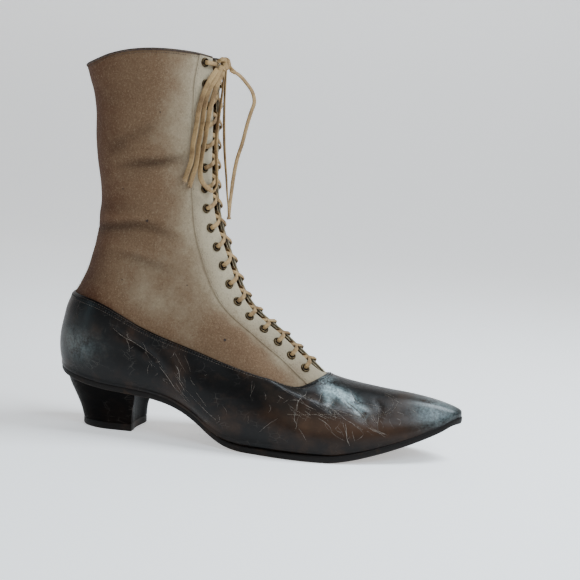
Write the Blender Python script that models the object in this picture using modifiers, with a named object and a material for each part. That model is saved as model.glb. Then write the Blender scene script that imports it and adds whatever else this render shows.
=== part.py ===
# Lady's laced boot for the right foot: cloth top, leather vamp and foxing, curved heel, eyelets and bow.
# x runs from heel to toe, y to the wearer's left (the inner side), z up from the floor.
# Tables are in millimetres, with x measured from the back of the seat. The scene is in metres, and its
# origin is the middle of the heel's floor face.
import math

import bmesh
import bpy
import numpy as np
from mathutils import Matrix, Vector

mm = 0.001

# Driving dimensions
soleLength = 262.0
ballWidth = 74.0
topHeight = 240.0
heelMiddle = 34.0
wallThickness = 1.8
vampThickness = 0.9
vampGap = 0.3
soleThickness = 4.4
topPieceThickness = 5.0
insoleThickness = 1.8
tongueThickness = 1.2
pieceGap = 0.3
weldDistance = 0.01
sharpDegrees = 40.0
laceWidth = 2.6
laceThickness = 0.9
eyeletCount = 18

# The tables below are drawn for these sizes and scaled to the driving dimensions.
drawnLength = 262.0
drawnBall = 74.0
drawnHeight = 240.0

# Smooth curve through a table's points, with end slopes taken from the end points.
def smooth(knots, values, at):
    knots = np.asarray(knots, float)
    values = np.asarray(values, float)
    slopes = np.gradient(values, knots, axis=0)
    at = min(max(at, knots[0]), knots[-1])
    i = int(min(np.searchsorted(knots, at, side="right") - 1, len(knots) - 2))
    step = knots[i + 1] - knots[i]
    t = (at - knots[i]) / step
    start = (1 + 2 * t) * (1 - t) ** 2
    end = t * t * (3 - 2 * t)
    startSlope = t * (1 - t) ** 2 * step
    endSlope = t * t * (t - 1) * step
    return start * values[i] + end * values[i + 1] + startSlope * slopes[i] + endSlope * slopes[i + 1]


# Top face of the sole along the foot: x, z
soleTop = [
    (0, 40.2), (2.5, 40), (8, 38.4), (20, 35.4), (37, 32.4), (55, 30.6), (70, 28.6), (82, 25.6), (92, 21.6),
    (101, 16.6), (109, 11.4), (118, 7), (128, 4.8), (138, 4.4), (160, 4.4), (188, 4.4), (200, 6.2),
    (213, 9.4), (226, 13.4), (239, 18.2), (251, 23.4), (258.5, 27.2), (262, 27.5),
]

# Half widths of the sole along the foot, as factors of sin(angle): share of the length, outer, inner
soleOutline = [
    (0.00, 52.0, 52.0),
    (0.12, 35.5, 35.0),
    (0.30, 23.5, 20.0),
    (0.50, 33.0, 25.5),
    (0.70, 41.0, 36.5),
    (0.88, 34.5, 31.5),
    (1.00, 30.0, 29.0),
]

# Back of the boot from the seat to the collar: z, x
backLine = [
    (36, 2.6), (41, 0.8), (48, -0.6), (55, -1), (62, -0.4), (70, 1.3), (79, 3.6), (87, 7.4),
    (95, 11.8), (104, 16), (112, 18.4), (120, 20.6), (134, 22.8), (150, 24), (159, 23.3), (173, 21),
    (186, 19.6), (208, 18.8), (216, 17.3), (223, 15), (232, 12.3),
]

# Ridge of the vamp from the toe to the throat: level, x, z
ridgeLine = [
    (0, 260.4, 28.6), (0.06, 260.2, 30.2), (0.12, 257.6, 31.6), (0.2, 252.5, 33.4), (0.3, 245, 35.4),
    (0.4, 236, 37.1), (0.5, 227, 38.3), (0.6, 217.5, 39.2), (0.7, 208, 40.4), (0.8, 198, 41.8),
    (0.9, 187, 43.8), (1, 176, 46.8),
]

# Levels of the upper from the foxing line (1) to the collar (8). Level 0 is the feather edge, on the sole.
# level, heights at the seven level shares from the back to the throat line, x of the throat line
levels = [
    (1, 88, 85, 71, 58.8, 47.6, 41.6, 46.8, 176),
    (2, 98, 96, 88, 79, 70.5, 67.5, 69, 150),
    (3, 112, 110.5, 105, 98, 91.5, 89, 89.5, 124.8),
    (4, 130, 129.5, 128, 126, 124.5, 124, 124, 108.6),
    (5, 150, 150, 149, 148, 147.5, 147, 147, 101.3),
    (6, 175, 175, 175, 175, 175, 175, 175, 98.8),
    (7, 205, 205.5, 206, 207, 207.5, 207.5, 207, 98.2),
    (8, 231.5, 233.5, 237.5, 240.6, 241, 240.2, 239, 96.4),
]
levelShares = (0, 0.15, 0.33, 0.57, 0.80, 0.93, 1)

# Half-width factors of the upper by level, at seven shares of each ring: outer side, then inner side
widthShares = (0, 0.12, 0.30, 0.50, 0.70, 0.88, 1)
outerWidths = [
    (0.0, (49.0, 33.5, 22.5, 29.8, 37.5, 31.5, 26.0)),
    (0.2, (50.5, 40.0, 28.5, 33.5, 40.0, 35.5, 29.5)),
    (0.5, (47.0, 41.5, 29.8, 33.0, 38.0, 38.5, 34.5)),
    (0.8, (43.0, 40.5, 29.8, 30.0, 35.5, 40.0, 37.5)),
    (1.0, (39.5, 38.8, 29.5, 28.5, 34.0, 39.5, 38.0)),
    (2.0, (33.0, 35.5, 29.0, 27.8, 29.0, 31.5, 32.0)),
    (3.0, (30.0, 31.5, 28.8, 28.0, 28.0, 29.8, 31.0)),
    (4.0, (27.0, 28.8, 28.4, 28.2, 28.2, 28.8, 29.5)),
    (5.0, (26.5, 28.2, 28.4, 28.4, 28.4, 28.4, 28.4)),
    (6.0, (28.0, 29.8, 30.2, 30.2, 30.2, 29.8, 29.2)),
    (7.0, (29.5, 31.2, 32.0, 32.0, 31.8, 31.0, 30.2)),
    (8.0, (31.5, 33.2, 34.0, 34.0, 33.4, 32.4, 31.0)),
]
innerFootWidths = [
    (0.0, (49.0, 33.0, 19.0, 24.0, 34.5, 29.5, 26.0)),
    (0.2, (50.5, 39.5, 25.0, 28.5, 38.0, 33.5, 29.5)),
    (0.5, (47.0, 41.0, 28.0, 29.8, 36.5, 37.0, 34.0)),
    (0.8, (43.0, 40.2, 29.2, 29.2, 34.5, 38.5, 37.0)),
    (1.0, (39.5, 38.5, 29.2, 28.3, 33.2, 39.0, 38.0)),
]
innerWidths = innerFootWidths + outerWidths[len(innerFootWidths):]

# Half width of the open throat: level, half gap. Below the throat's bottom level the rings are closed.
throatGap = [(1.05, 3.4), (1.25, 4.8), (2, 5.5), (3, 6), (5, 6.4), (8, 6.6)]
throatBottom = 1.05
seatHeight = 41.0
featherBand = 0.05
toeShift = 7.0
toeShiftStart = 110.0


def toScene(x, y, z):
    return Vector((
        (x - heelMiddle) * soleLength / drawnLength * mm,
        y * ballWidth / drawnBall * mm,
        z * topHeight / drawnHeight * mm,
    ))


# The foot's middle line bends towards the inner side over the toes.
def middleLine(x):
    past = max(0.0, x - toeShiftStart) / (drawnLength - toeShiftStart)
    return toeShift * past * past


def soleTopAt(x):
    return max(soleThickness, float(smooth([p[0] for p in soleTop], [p[1] for p in soleTop], x)))


def backAt(z):
    return float(smooth([p[0] for p in backLine], [p[1] for p in backLine], z))


levelTable = np.array(levels, float)
topLevel = levelTable[-1, 0]
toeX = ridgeLine[0][1]
normalStep = 0.004


# Front point of a ring: on the vamp's ridge below the foxing line, on the throat line above it.
def frontPoint(level):
    if level <= 1:
        x, z = smooth([p[0] for p in ridgeLine], [p[1:] for p in ridgeLine], level)
        return float(x), float(z)
    z, x = smooth(levelTable[:, 0], levelTable[:, 7:9], level)
    return float(x), float(z)


# Height of a ring at a share of its length, and its x there.
def ringSide(level, share):
    frontX, frontZ = frontPoint(level)
    if level >= 1:
        heights = smooth(levelTable[:, 0], levelTable[:, 1:8], level)
        backX = backAt(heights[0])
        return backX + (frontX - backX) * share, float(smooth(levelShares, heights, share))
    featherBack = soleTopAt(backAt(seatHeight)) + pieceGap
    foxing = levelTable[0, 1:8]
    backX = backAt(featherBack + (foxing[0] - featherBack) * level)
    featherX = backAt(featherBack)
    feather = soleTopAt(featherX + (toeX - featherX) * share) + pieceGap
    height = feather + (float(smooth(levelShares, foxing, share)) - feather) * level
    toeFeather = soleTopAt(toeX) + pieceGap
    lift = frontZ - toeFeather - (foxing[-1] - toeFeather) * level
    return backX + (frontX - backX) * share, height + lift * share ** 4


def widthAt(level, share, side):
    table = outerWidths if side < 0 else innerWidths
    row = smooth([r[0] for r in table], np.array([r[1] for r in table]), level)
    return float(smooth(widthShares, row, share))


# A point of the upper's outer face in table millimetres. angle runs from 0 at the back to pi at the front,
# and side is -1 on the outer side and 1 on the inner side. The lowest band stands upright on the sole.
def skin(level, angle, side):
    share = (1 - math.cos(angle)) / 2
    upright = max(level, featherBand)
    x, z = ringSide(upright, share)
    y = middleLine(x) + side * widthAt(upright, share, side) * math.sin(angle)
    if level < featherBand:
        foot = soleTopAt(x) + pieceGap
        z = foot + (z - foot) * level / featherBand
    return np.array([x, y, z])


# Outward direction of the outer face, from small steps along the level and round the ring.
def skinNormal(level, angle, side):
    low, high = max(0.0, level - normalStep), min(topLevel, level + normalStep)
    alongLevel = skin(high, angle, side) - skin(low, angle, side)
    alongRing = skin(level, angle + normalStep, side) - skin(level, angle - normalStep, side)
    normal = np.cross(alongRing, alongLevel) * -side
    return normal / np.linalg.norm(normal)


def offsetSkin(level, angle, side, offset):
    return skin(level, angle, side) + skinNormal(level, angle, side) * offset


def gapAt(level):
    return float(smooth([g[0] for g in throatGap], [g[1] for g in throatGap], level))


# Angle of a ring's last column: the front middle where it is closed, the facing's edge where it is open.
def lastAngle(level):
    if level <= throatBottom:
        return math.pi
    return math.pi - math.asin(gapAt(level) / widthAt(level, 1, -1))


def newMaterial(name, colour, roughness, metallic=0.0):
    material = bpy.data.materials.new(name)
    material.use_nodes = True
    shader = material.node_tree.nodes["Principled BSDF"]
    shader.inputs["Base Color"].default_value = (*colour, 1)
    shader.inputs["Roughness"].default_value = roughness
    shader.inputs["Metallic"].default_value = metallic
    material.diffuse_color = (*colour, 1)
    return material


def newCollection(name):
    collection = bpy.data.collections.new(name)
    bpy.context.scene.collection.children.link(collection)
    return collection


# Mesh object from points in table millimetres and faces by index. Points that meet are welded.
def meshObject(name, points, faces, material, collection):
    mesh = bpy.data.meshes.new(name)
    mesh.from_pydata([toScene(*p) for p in points], [], faces)
    work = bmesh.new()
    work.from_mesh(mesh)
    bmesh.ops.remove_doubles(work, verts=work.verts, dist=weldDistance * mm)
    work.to_mesh(mesh)
    work.free()
    mesh.materials.append(material)
    mesh.shade_smooth()
    mesh.set_sharp_from_angle(angle=math.radians(sharpDegrees))
    item = bpy.data.objects.new(name, mesh)
    collection.objects.link(item)
    return item


def solidify(item, thickness, outward):
    modifier = item.modifiers.new("thickness", "SOLIDIFY")
    modifier.thickness = thickness * mm
    modifier.offset = 1 if outward else -1
    modifier.use_even_offset = True
    return item


def subtract(item, cutter):
    modifier = item.modifiers.new("cut", "BOOLEAN")
    modifier.operation = "DIFFERENCE"
    modifier.solver = "EXACT"
    modifier.object = cutter
    return item


def asCutter(item):
    item.hide_render = True
    item.display_type = "WIRE"
    return item


# Open sheet of quads through a grid of points: rows go up, and columns run from the outer side's front round
# the back to the inner side's front.
def sheet(name, rows, material, collection):
    width = len(rows[0])
    faces = []
    for r in range(len(rows) - 1):
        for c in range(width - 1):
            low, high = r * width + c, (r + 1) * width + c
            faces.append((low, high, high + 1, low + 1))
    return meshObject(name, [p for row in rows for p in row], faces, material, collection)


# Shares of a ring's length at its columns, closest over the arch, where the sole bends most
columnShares = (
    0, 0.01, 0.05, 0.12, 0.2, 0.27, 0.32, 0.36, 0.4, 0.44, 0.49, 0.56, 0.64, 0.73, 0.82, 0.9, 0.96, 0.992, 1,
)


vampFootGap = 0.55
footLevels = (0, 0.05, 0.14, 0.27, 0.42, 0.6, 0.8, 1)
shaftLevels = (1.05, 1.16, 1.55, 2, 2.5, 3, 3.5, 4.1, 4.8, 5.8, 7, 7.6, 8)


# Points of one ring of the skin at an offset along its normal. The vamp's lowest ring keeps off the sole.
def ringPoints(level, offset):
    points = []
    last = len(columnShares) - 1
    for c in range(-last, last + 1):
        side = -1 if c < 0 else 1
        angle = math.acos(1 - 2 * columnShares[abs(c)]) * lastAngle(level) / math.pi
        point = offsetSkin(level, angle, side, offset)
        if level == 0 and offset:
            point[2] = soleTopAt(point[0]) + vampFootGap
        points.append(point)
    return points


def makeUpper(material, collection, holes):
    rows = [ringPoints(level, 0) for level in footLevels + shaftLevels]
    upper = solidify(sheet("upper", rows, material, collection), wallThickness, outward=False)
    return subtract(upper, holes)


def makeVamp(material, collection):
    rows = [ringPoints(level, vampGap) for level in footLevels]
    return solidify(sheet("vamp", rows, material, collection), vampThickness, outward=True)


tongueRoom = 1.7
tongueOffset = wallThickness + laceThickness + tongueRoom
tongueFoot, tongueTop = 0.93, 7.93
tongueLevels = (tongueFoot,) + footLevels[-1:] + shaftLevels[:-1] + (tongueTop,)
tongueColumns = 3

# Half width of the tongue: level, half width
tongueWidths = [(tongueFoot, 11), (1.6, 14), (3, 17), (8, 20)]


def makeTongue(material, collection):
    rows = []
    for level in tongueLevels:
        half = float(smooth([w[0] for w in tongueWidths], [w[1] for w in tongueWidths], level))
        spread = math.asin(half / widthAt(level, 1, -1))
        row = []
        for c in range(-tongueColumns, tongueColumns + 1):
            side = -1 if c < 0 else 1
            angle = math.pi - spread * abs(c) / tongueColumns
            row.append(offsetSkin(level, angle, side, -tongueOffset))
        rows.append(row[::-1])
    return solidify(sheet("tongue", rows, material, collection), tongueThickness, outward=False)


soleBack = -0.4
soleBottomInset = 0.8


def soleEdge(x, inset, side):
    share = (x - soleBack) / (drawnLength - soleBack)
    row = smooth([r[0] for r in soleOutline], [r[1:] for r in soleOutline], share)
    half = row[0 if side < 0 else 1] * 2 * math.sqrt(max(0.0, share * (1 - share)))
    return middleLine(x) + side * max(0.0, half - inset)


# The sole and insole are cut at the columns of the upper's lowest ring, so that their faces run parallel.
def soleStations():
    return [ringSide(0, share)[0] for share in columnShares]


# Slab lofted from rows across the foot, each with a top pair and a bottom pair of corners.
def slab(name, rows, material, collection):
    points, faces = [], []
    for outer, inner, top, bottom, bottomInset in rows:
        points += [
            (outer[0], outer[1], top), (inner[0], inner[1], top),
            (inner[0], max(inner[1] - bottomInset, outer[1]), bottom),
            (outer[0], min(outer[1] + bottomInset, inner[1]), bottom),
        ]
    for r in range(len(rows) - 1):
        low, high = 4 * r, 4 * r + 4
        for c in range(4):
            after = (c + 1) % 4
            faces.append((low + c, high + c, high + after, low + after))
    end = len(points)
    faces += [(0, 1, 2, 3), (end - 1, end - 2, end - 3, end - 4)]
    return meshObject(name, points, faces, material, collection)


def makeOutsole(material, collection):
    stations = [soleBack] + soleStations() + [drawnLength]
    rows = []
    for x in stations:
        outer, inner = (x, soleEdge(x, 0, -1)), (x, soleEdge(x, 0, 1))
        bottom = soleTopAt(x) - soleThickness
        inset = 0 if x in (stations[0], stations[-1]) else soleBottomInset
        rows.append((outer, inner, soleTopAt(x), bottom, inset))
    return slab("outsole", rows, material, collection)


insoleInset = 5.2
insoleTipShare = 0.35
insoleCut = 2


def makeInsole(material, collection):
    stations = soleStations()[insoleCut:-insoleCut]
    rows = []
    for i, x in enumerate(stations):
        outer, inner = soleEdge(x, insoleInset, -1), soleEdge(x, insoleInset, 1)
        if i in (0, len(stations) - 1):
            middle = (outer + inner) / 2
            outer = middle + (outer - middle) * insoleTipShare
            inner = middle + (inner - middle) * insoleTipShare
        bottom = soleTopAt(x) + pieceGap
        rows.append(((x, outer), (x, inner), bottom + insoleThickness, bottom, 0))
    return slab("insole", rows, material, collection)


# Heel sections from the floor up: height as a share of the block, back x, breast x, half width
heelSections = [
    (0.00, 15.0, 53.2, 14.6),
    (0.25, 12.8, 53.4, 15.0),
    (0.50, 9.4, 54.2, 16.0),
    (0.78, 5.0, 57.2, 18.4),
    (1.00, 2.4, 64.0, 20.6),
]
heelArcPoints = 9
heelSidePoints = 2
heelArcShare = 0.6
heelBreastNarrowing = 0.045
breastRadius = 40.0
breastDepth = 1.4
breastCutterLength = 120.0
breastCutterSides = 96
topPieceBackInset, topPieceBreastInset, topPieceSideInset = 1.4, 0.4, 0.3


# D-shaped outline from the outer breast corner round the back to the inner one, in pairs across the foot.
def heelOutline(back, breast, half):
    arcLength = heelArcShare * (breast - back)
    outer = []
    for i in range(heelSidePoints + 1):
        part = i / (heelSidePoints + 1)
        width = half * (1 - heelBreastNarrowing * (1 - part))
        outer.append((breast - (breast - back - arcLength) * part, width))
    for i in range(heelArcPoints + 1):
        turn = math.pi / 2 * i / heelArcPoints
        outer.append((back + arcLength * (1 - math.sin(turn)), half * math.cos(turn)))
    return outer


def heelBlock(name, sections, material, collection):
    points, faces = [], []
    for outline, heights in sections:
        for (x, y), z in zip(outline, heights):
            points += [(x, -y, z), (x, y, z)]
    count = 2 * len(sections[0][0])
    for s in range(len(sections) - 1):
        low, high = s * count, (s + 1) * count
        faces.append((low + 1, low, high, high + 1))
        for i in range(0, count - 2, 2):
            faces.append((low + i, low + i + 2, high + i + 2, high + i))
            faces.append((low + i + 1, high + i + 1, high + i + 3, low + i + 3))
    top = (len(sections) - 1) * count
    for i in range(0, count - 2, 2):
        faces.append((i, i + 1, i + 3, i + 2))
        faces.append((top + i, top + i + 2, top + i + 3, top + i + 1))
    return meshObject(name, points, faces, material, collection)


def breastCutter(collection):
    bpy.ops.mesh.primitive_cylinder_add(
        vertices=breastCutterSides, radius=breastRadius * mm, depth=breastCutterLength * mm,
        location=toScene(heelSections[0][2] + breastRadius - breastDepth, 0, 0),
    )
    cutter = bpy.context.object
    for home in list(cutter.users_collection):
        home.objects.unlink(cutter)
    collection.objects.link(cutter)
    return asCutter(cutter)


def makeHeel(material, collection):
    floor = topPieceThickness + pieceGap
    sections = []
    for share, back, breast, half in heelSections:
        outline = heelOutline(back, breast, half)
        heights = [floor + (soleTopAt(x) - soleThickness - pieceGap - floor) * share for x, _ in outline]
        sections.append((outline, heights))
    return heelBlock("heel", sections, material, collection)


def makeTopPiece(material, collection):
    _, back, breast, half = heelSections[0]
    low = heelOutline(back + topPieceBackInset, breast - topPieceBreastInset, half - topPieceSideInset)
    outlines = [low, heelOutline(back, breast, half)]
    sections = [(outline, [z] * len(outline)) for outline, z in zip(outlines, (0, topPieceThickness))]
    return heelBlock("top_piece", sections, material, collection)


eyeletBore, eyeletRadius, eyeletHeight = 1.75, 3.0, 0.8
eyeletSides = 8
eyeletGap = 0.6
eyeletInset = 6.2
holeRadius = 2.1
holeSides = 6
eyeletEase = 0.056
firstEyelet, lastEyelet = 4.2, 9.0
levelSamples = 160


def eyeletAngle(level, side):
    return math.pi - math.asin((gapAt(level) + eyeletInset) / widthAt(level, 1, side))


# Levels of the eyelets, from the collar down the facing, set slightly wider apart at the top.
def eyeletLevels():
    samples = np.linspace(topLevel, throatBottom, levelSamples)
    points = [skin(level, eyeletAngle(level, -1), -1) for level in samples]
    steps = [0] + [float(np.linalg.norm(b - a)) for a, b in zip(points, points[1:])]
    along = np.cumsum(steps)
    part = np.linspace(0, 1, eyeletCount)
    part += eyeletEase * part * (1 - part)
    wanted = firstEyelet + (along[-1] - lastEyelet - firstEyelet) * part
    return [float(level) for level in np.interp(wanted, along, samples)]


# Upright frame on the skin at an eyelet: place, and axes with the third along the normal.
def eyeletFrame(level, side, offset):
    angle = eyeletAngle(level, side)
    normal = Vector(skinNormal(level, angle, side))
    across = Vector((0, 0, 1)).cross(normal).normalized()
    turn = Matrix((across, normal.cross(across), normal)).transposed().to_4x4()
    place = toScene(*offsetSkin(level, angle, side, offset))
    return Matrix.Translation(place) @ turn


def holeCutter(collection):
    work = bmesh.new()
    for level in eyeletLevels():
        for side in (-1, 1):
            bmesh.ops.create_cone(
                work, cap_ends=True, segments=holeSides, radius1=holeRadius * mm, radius2=holeRadius * mm,
                depth=4 * wallThickness * mm, matrix=eyeletFrame(level, side, 0),
            )
    mesh = bpy.data.meshes.new("eyelet_holes")
    work.to_mesh(mesh)
    work.free()
    cutter = bpy.data.objects.new("eyelet_holes", mesh)
    collection.objects.link(cutter)
    return asCutter(cutter)


def makeEyelets(material, collection):
    profile = [(eyeletRadius, 0), (eyeletBore, 0), ((eyeletRadius + eyeletBore) / 2, eyeletHeight)]
    corners = len(profile)
    mesh = bpy.data.meshes.new("eyelet")
    points, faces = [], []
    for i in range(eyeletSides):
        turn = 2 * math.pi * i / eyeletSides
        points += [Vector((r * math.cos(turn), r * math.sin(turn), z)) * mm for r, z in profile]
        low, high = corners * i, corners * ((i + 1) % eyeletSides)
        for c in range(corners):
            after = (c + 1) % corners
            faces.append((low + c, low + after, high + after, high + c))
    mesh.from_pydata(points, [], faces)
    mesh.materials.append(material)
    for side, sideName in ((-1, "outer"), (1, "inner")):
        for i, level in enumerate(eyeletLevels()):
            eyelet = bpy.data.objects.new(f"eyelet_{sideName}_{i + 1:02d}", mesh)
            eyelet.matrix_world = eyeletFrame(level, side, eyeletGap)
            collection.objects.link(eyelet)


# The lace's centre line runs this far under the wall's outer face, over an eyelet, over a facing's edge and
# where two strands cross over the tongue.
laceUnder = -wallThickness - pieceGap - laceThickness / 2
laceOverEyelet = eyeletGap + eyeletHeight + pieceGap + laceThickness / 2
laceOverEdge = 1.3
laceAtCrossing = -0.2
edgeTuck = 0.9
rimReach = 3.2
crossingStep = 0.16

# The lace's bottom bar and its last stretch from the top eyelets to the knot
barOverlap = 0.7
barTravel = (-0.6, 0, 0.8)
knotClearance = 4.4
topLift = 0.6


def throatPoint(level, across, offset):
    side = -1 if across < 0 else 1
    angle = math.pi - math.asin(min(1.0, abs(across) / widthAt(level, 1, side)))
    return offsetSkin(level, angle, side, offset), skinNormal(level, angle, side)


# Stations of one diagonal, from an eyelet on one side up to the next one on the other side: share of the
# way, distance from the middle and offset. The first two stand in the eyelet's hole.
def diagonal(low, high, side):
    crossing = laceAtCrossing + crossingStep * side
    startAcross = gapAt(low) + eyeletInset
    stations = [
        (0, startAcross, laceUnder), (0, startAcross, laceOverEyelet),
        (0.12, startAcross - rimReach, laceOverEyelet), (0.24, gapAt(low), laceOverEdge),
        (0.5, 0, crossing), (0.72, edgeTuck - gapAt(high), laceUnder),
    ]
    return [
        throatPoint(low + (high - low) * share, side * across, offset)
        for share, across, offset in stations
    ]


# Box-section strand through points, each with a direction across its width and a direction of travel.
def strandMesh(points, wides, travels):
    corners, faces = [], []
    for point, wide, travel in zip(points, wides, travels):
        travel = travel / np.linalg.norm(travel)
        wide = wide - travel * float(wide @ travel)
        wide /= np.linalg.norm(wide)
        thick = np.cross(travel, wide)
        for a, b in ((-1, -1), (1, -1), (1, 1), (-1, 1)):
            corners.append(point + wide * a * laceWidth / 2 + thick * b * laceThickness / 2)
    for i in range(len(points) - 1):
        low, high = 4 * i, 4 * i + 4
        for c in range(4):
            after = (c + 1) % 4
            faces.append((low + c, low + after, high + after, high + c))
    end = len(corners)
    faces += [(3, 2, 1, 0), (end - 4, end - 3, end - 2, end - 1)]
    return corners, faces


# One half of the lace, from the middle of the bottom bar up to the knot, starting on the given side.
def laceHalf(side):
    levels = eyeletLevels()[::-1]
    depth = laceUnder - crossingStep * (1 + side)
    bottomAcross = gapAt(levels[0]) + eyeletInset
    stations = []
    for across in (-side * barOverlap, side * bottomAcross / 2):
        stations.append((throatPoint(levels[0], across, depth)[0], np.array(barTravel), None))
    for low, high in zip(levels, levels[1:]):
        way = diagonal(low, high, side)
        along = way[-1][0] - way[0][0]
        for i, (place, normal) in enumerate(way):
            stations.append((place, np.cross(along, normal) * side, normal if i < 2 else None))
        side = -side
    top = levels[-1]
    topAcross = gapAt(top) + eyeletInset
    finish = [
        (topAcross, laceUnder), (topAcross, laceOverEyelet), (topAcross - rimReach, laceOverEyelet),
        (knotClearance, laceOverEdge + topLift),
    ]
    for i, (across, offset) in enumerate(finish):
        place, normal = throatPoint(top, side * across, offset)
        stations.append((place, np.array([0, 0, 1.0]), normal if i < 2 else None))
    points = [station[0] for station in stations]
    travels = []
    for i, station in enumerate(stations):
        before, after = points[max(i - 1, 0)], points[min(i + 1, len(points) - 1)]
        travels.append(after - before if station[2] is None else station[2])
    return strandMesh(points, [station[1] for station in stations], travels)


def makeLacing(material, collection, cutters):
    halves = []
    for side, name, group in ((-1, "lacing", collection), (1, "lacing_half", cutters)):
        corners, faces = laceHalf(side)
        half = meshObject(name, corners, faces, material, group)
        halves.append(half)
    modifier = halves[0].modifiers.new("join", "BOOLEAN")
    modifier.operation = "UNION"
    modifier.solver = "EXACT"
    modifier.object = asCutter(halves[1])


# Routes of the bow's cords: the knot in front of the throat's top, two loops and two ends hanging from it
bowRoutes = {
    "bow_knot": [(101.9, -3, 236.4), (102.7, 0, 237.3), (101.9, 3, 236.4)],
    "bow_loop_outer": [
        (102.5, -2.6, 233.9), (101.5, -6.2, 228), (99.9, -11.5, 219), (98.3, -14.2, 209.5),
        (97.5, -15.8, 200.3), (96.3, -16.5, 189.3), (94.6, -17.9, 174.6), (94.6, -18.6, 168.6),
        (96.2, -18.4, 163), (99.2, -16.8, 159.5), (101.6, -13.4, 157.7), (102.8, -10.4, 160.4),
        (102.7, -10, 166.5), (102.1, -10.7, 178), (101.6, -11, 186), (101.8, -9.9, 197.6),
        (102.1, -6.5, 210), (102.2, -3.5, 222), (102, -1.6, 231.3),
    ],
    "bow_loop_inner": [
        (104.2, 3.4, 232.8), (108.5, 6.2, 230.8), (113.7, 9, 225.5), (117.6, 11.2, 219.4),
        (118.7, 11.5, 214), (117, 11.5, 208.2), (115.2, 11.5, 202), (112, 11, 187.6),
        (109.2, 11, 178), (107.4, 10.8, 166.6), (106.4, 10.6, 156), (106.1, 9.6, 147.6),
        (106.6, 7.3, 142.1), (107.3, 4.5, 140.4), (107.9, 1.8, 142.2), (107.9, 0, 147.8),
        (106.8, 0.2, 156), (105.6, 0.8, 166), (103.8, 0.8, 182), (102.4, 1.4, 202),
        (102, 1.8, 216), (102.3, 1.7, 233.8),
    ],
    "bow_end_outer": [
        (101.6, -5, 234.6), (99.4, -10.4, 226), (96.6, -15, 217.5), (95.1, -17.4, 207),
        (94.5, -18.2, 197), (93.2, -19.4, 185.5), (92.3, -20.1, 173.5), (90.7, -21.7, 166),
        (89.3, -23, 159.5),
    ],
    "bow_end_under": [
        (100.2, -9.5, 232.4), (97.7, -14.6, 226), (94.5, -18.4, 216), (92.7, -20.4, 206),
        (91.8, -21.3, 196), (90.5, -22.4, 185), (89.9, -23, 175), (88.3, -24.5, 168.5),
        (87.1, -25.8, 163),
    ],
}
bowRadii = {"bow_knot": 2.2}
bowRadius = 1.1
bowSpacing = 7.0
knotPoints = 5


# Cord tube on a smooth curve through its route, with points at an even spacing.
def makeCord(name, route, radius, material, collection):
    route = np.array(route, float)
    along = np.concatenate([[0], np.cumsum(np.linalg.norm(np.diff(route, axis=0), axis=1))])
    count = max(knotPoints, round(along[-1] / bowSpacing) + 1)
    curve = bpy.data.curves.new(name, "CURVE")
    curve.dimensions = "3D"
    curve.bevel_depth = radius * mm
    curve.bevel_resolution = 2
    curve.use_fill_caps = True
    spline = curve.splines.new("POLY")
    spline.points.add(count - 1)
    for point, place in zip(spline.points, np.linspace(0, along[-1], count)):
        point.co = (*toScene(*smooth(along, route, place)), 1)
    curve.materials.append(material)
    cord = bpy.data.objects.new(name, curve)
    collection.objects.link(cord)


def makeBow(material, collection):
    for name, route in bowRoutes.items():
        makeCord(name, route, bowRadii.get(name, bowRadius), material, collection)


def build():
    for item in list(bpy.data.objects):
        bpy.data.objects.remove(item)
    parts = newCollection("laced_boot")
    cutters = newCollection("cutters")
    cloth = newMaterial("cloth", (0.30, 0.24, 0.17), 0.95)
    leather = newMaterial("black_leather", (0.03, 0.025, 0.022), 0.35)
    soleLeather = newMaterial("sole_leather", (0.035, 0.028, 0.022), 0.6)
    liningLeather = newMaterial("insole_leather", (0.45, 0.36, 0.25), 0.7)
    brass = newMaterial("eyelet_metal", (0.35, 0.30, 0.22), 0.4, 1.0)
    braid = newMaterial("lace_braid", (0.42, 0.33, 0.21), 0.9)
    makeUpper(cloth, parts, holeCutter(cutters))
    makeVamp(leather, parts)
    makeTongue(cloth, parts)
    makeInsole(liningLeather, parts)
    makeOutsole(soleLeather, parts)
    breast = breastCutter(cutters)
    subtract(makeHeel(leather, parts), breast)
    subtract(makeTopPiece(soleLeather, parts), breast)
    makeEyelets(brass, parts)
    makeLacing(braid, parts, cutters)
    makeBow(braid, parts)


build()
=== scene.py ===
import math

import bmesh
import bpy
import numpy as np
from mathutils import Matrix, Vector


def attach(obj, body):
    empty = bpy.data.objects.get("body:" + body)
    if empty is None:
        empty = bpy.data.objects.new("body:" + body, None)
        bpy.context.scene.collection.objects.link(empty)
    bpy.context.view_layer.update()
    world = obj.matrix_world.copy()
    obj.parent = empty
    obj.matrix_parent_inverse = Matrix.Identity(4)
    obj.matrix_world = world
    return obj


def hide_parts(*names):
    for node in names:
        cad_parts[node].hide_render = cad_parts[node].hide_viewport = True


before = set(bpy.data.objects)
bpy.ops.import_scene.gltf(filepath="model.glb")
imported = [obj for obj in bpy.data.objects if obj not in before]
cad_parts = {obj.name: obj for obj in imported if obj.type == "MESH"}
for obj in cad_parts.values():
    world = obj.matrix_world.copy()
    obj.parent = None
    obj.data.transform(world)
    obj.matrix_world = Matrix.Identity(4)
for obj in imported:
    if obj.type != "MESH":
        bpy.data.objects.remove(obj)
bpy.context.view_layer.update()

# x runs from heel to toe, y to the wearer's left (the inner side), z up. Tables are in millimetres, with x
# measured from the back of the seat, as in the part's source. The scene is in metres.
mm = 0.001
heelMiddle = 34.0


def toScene(points):
    points = np.asarray(points, float)
    return (points - np.array([heelMiddle, 0, 0])) * mm


# ---- colours are linear RGB
def linear(red, green, blue):
    def one(value):
        value /= 255
        return value / 12.92 if value <= 0.04045 else ((value + 0.055) / 1.055) ** 2.4
    return (one(red), one(green), one(blue), 1.0)


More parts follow.
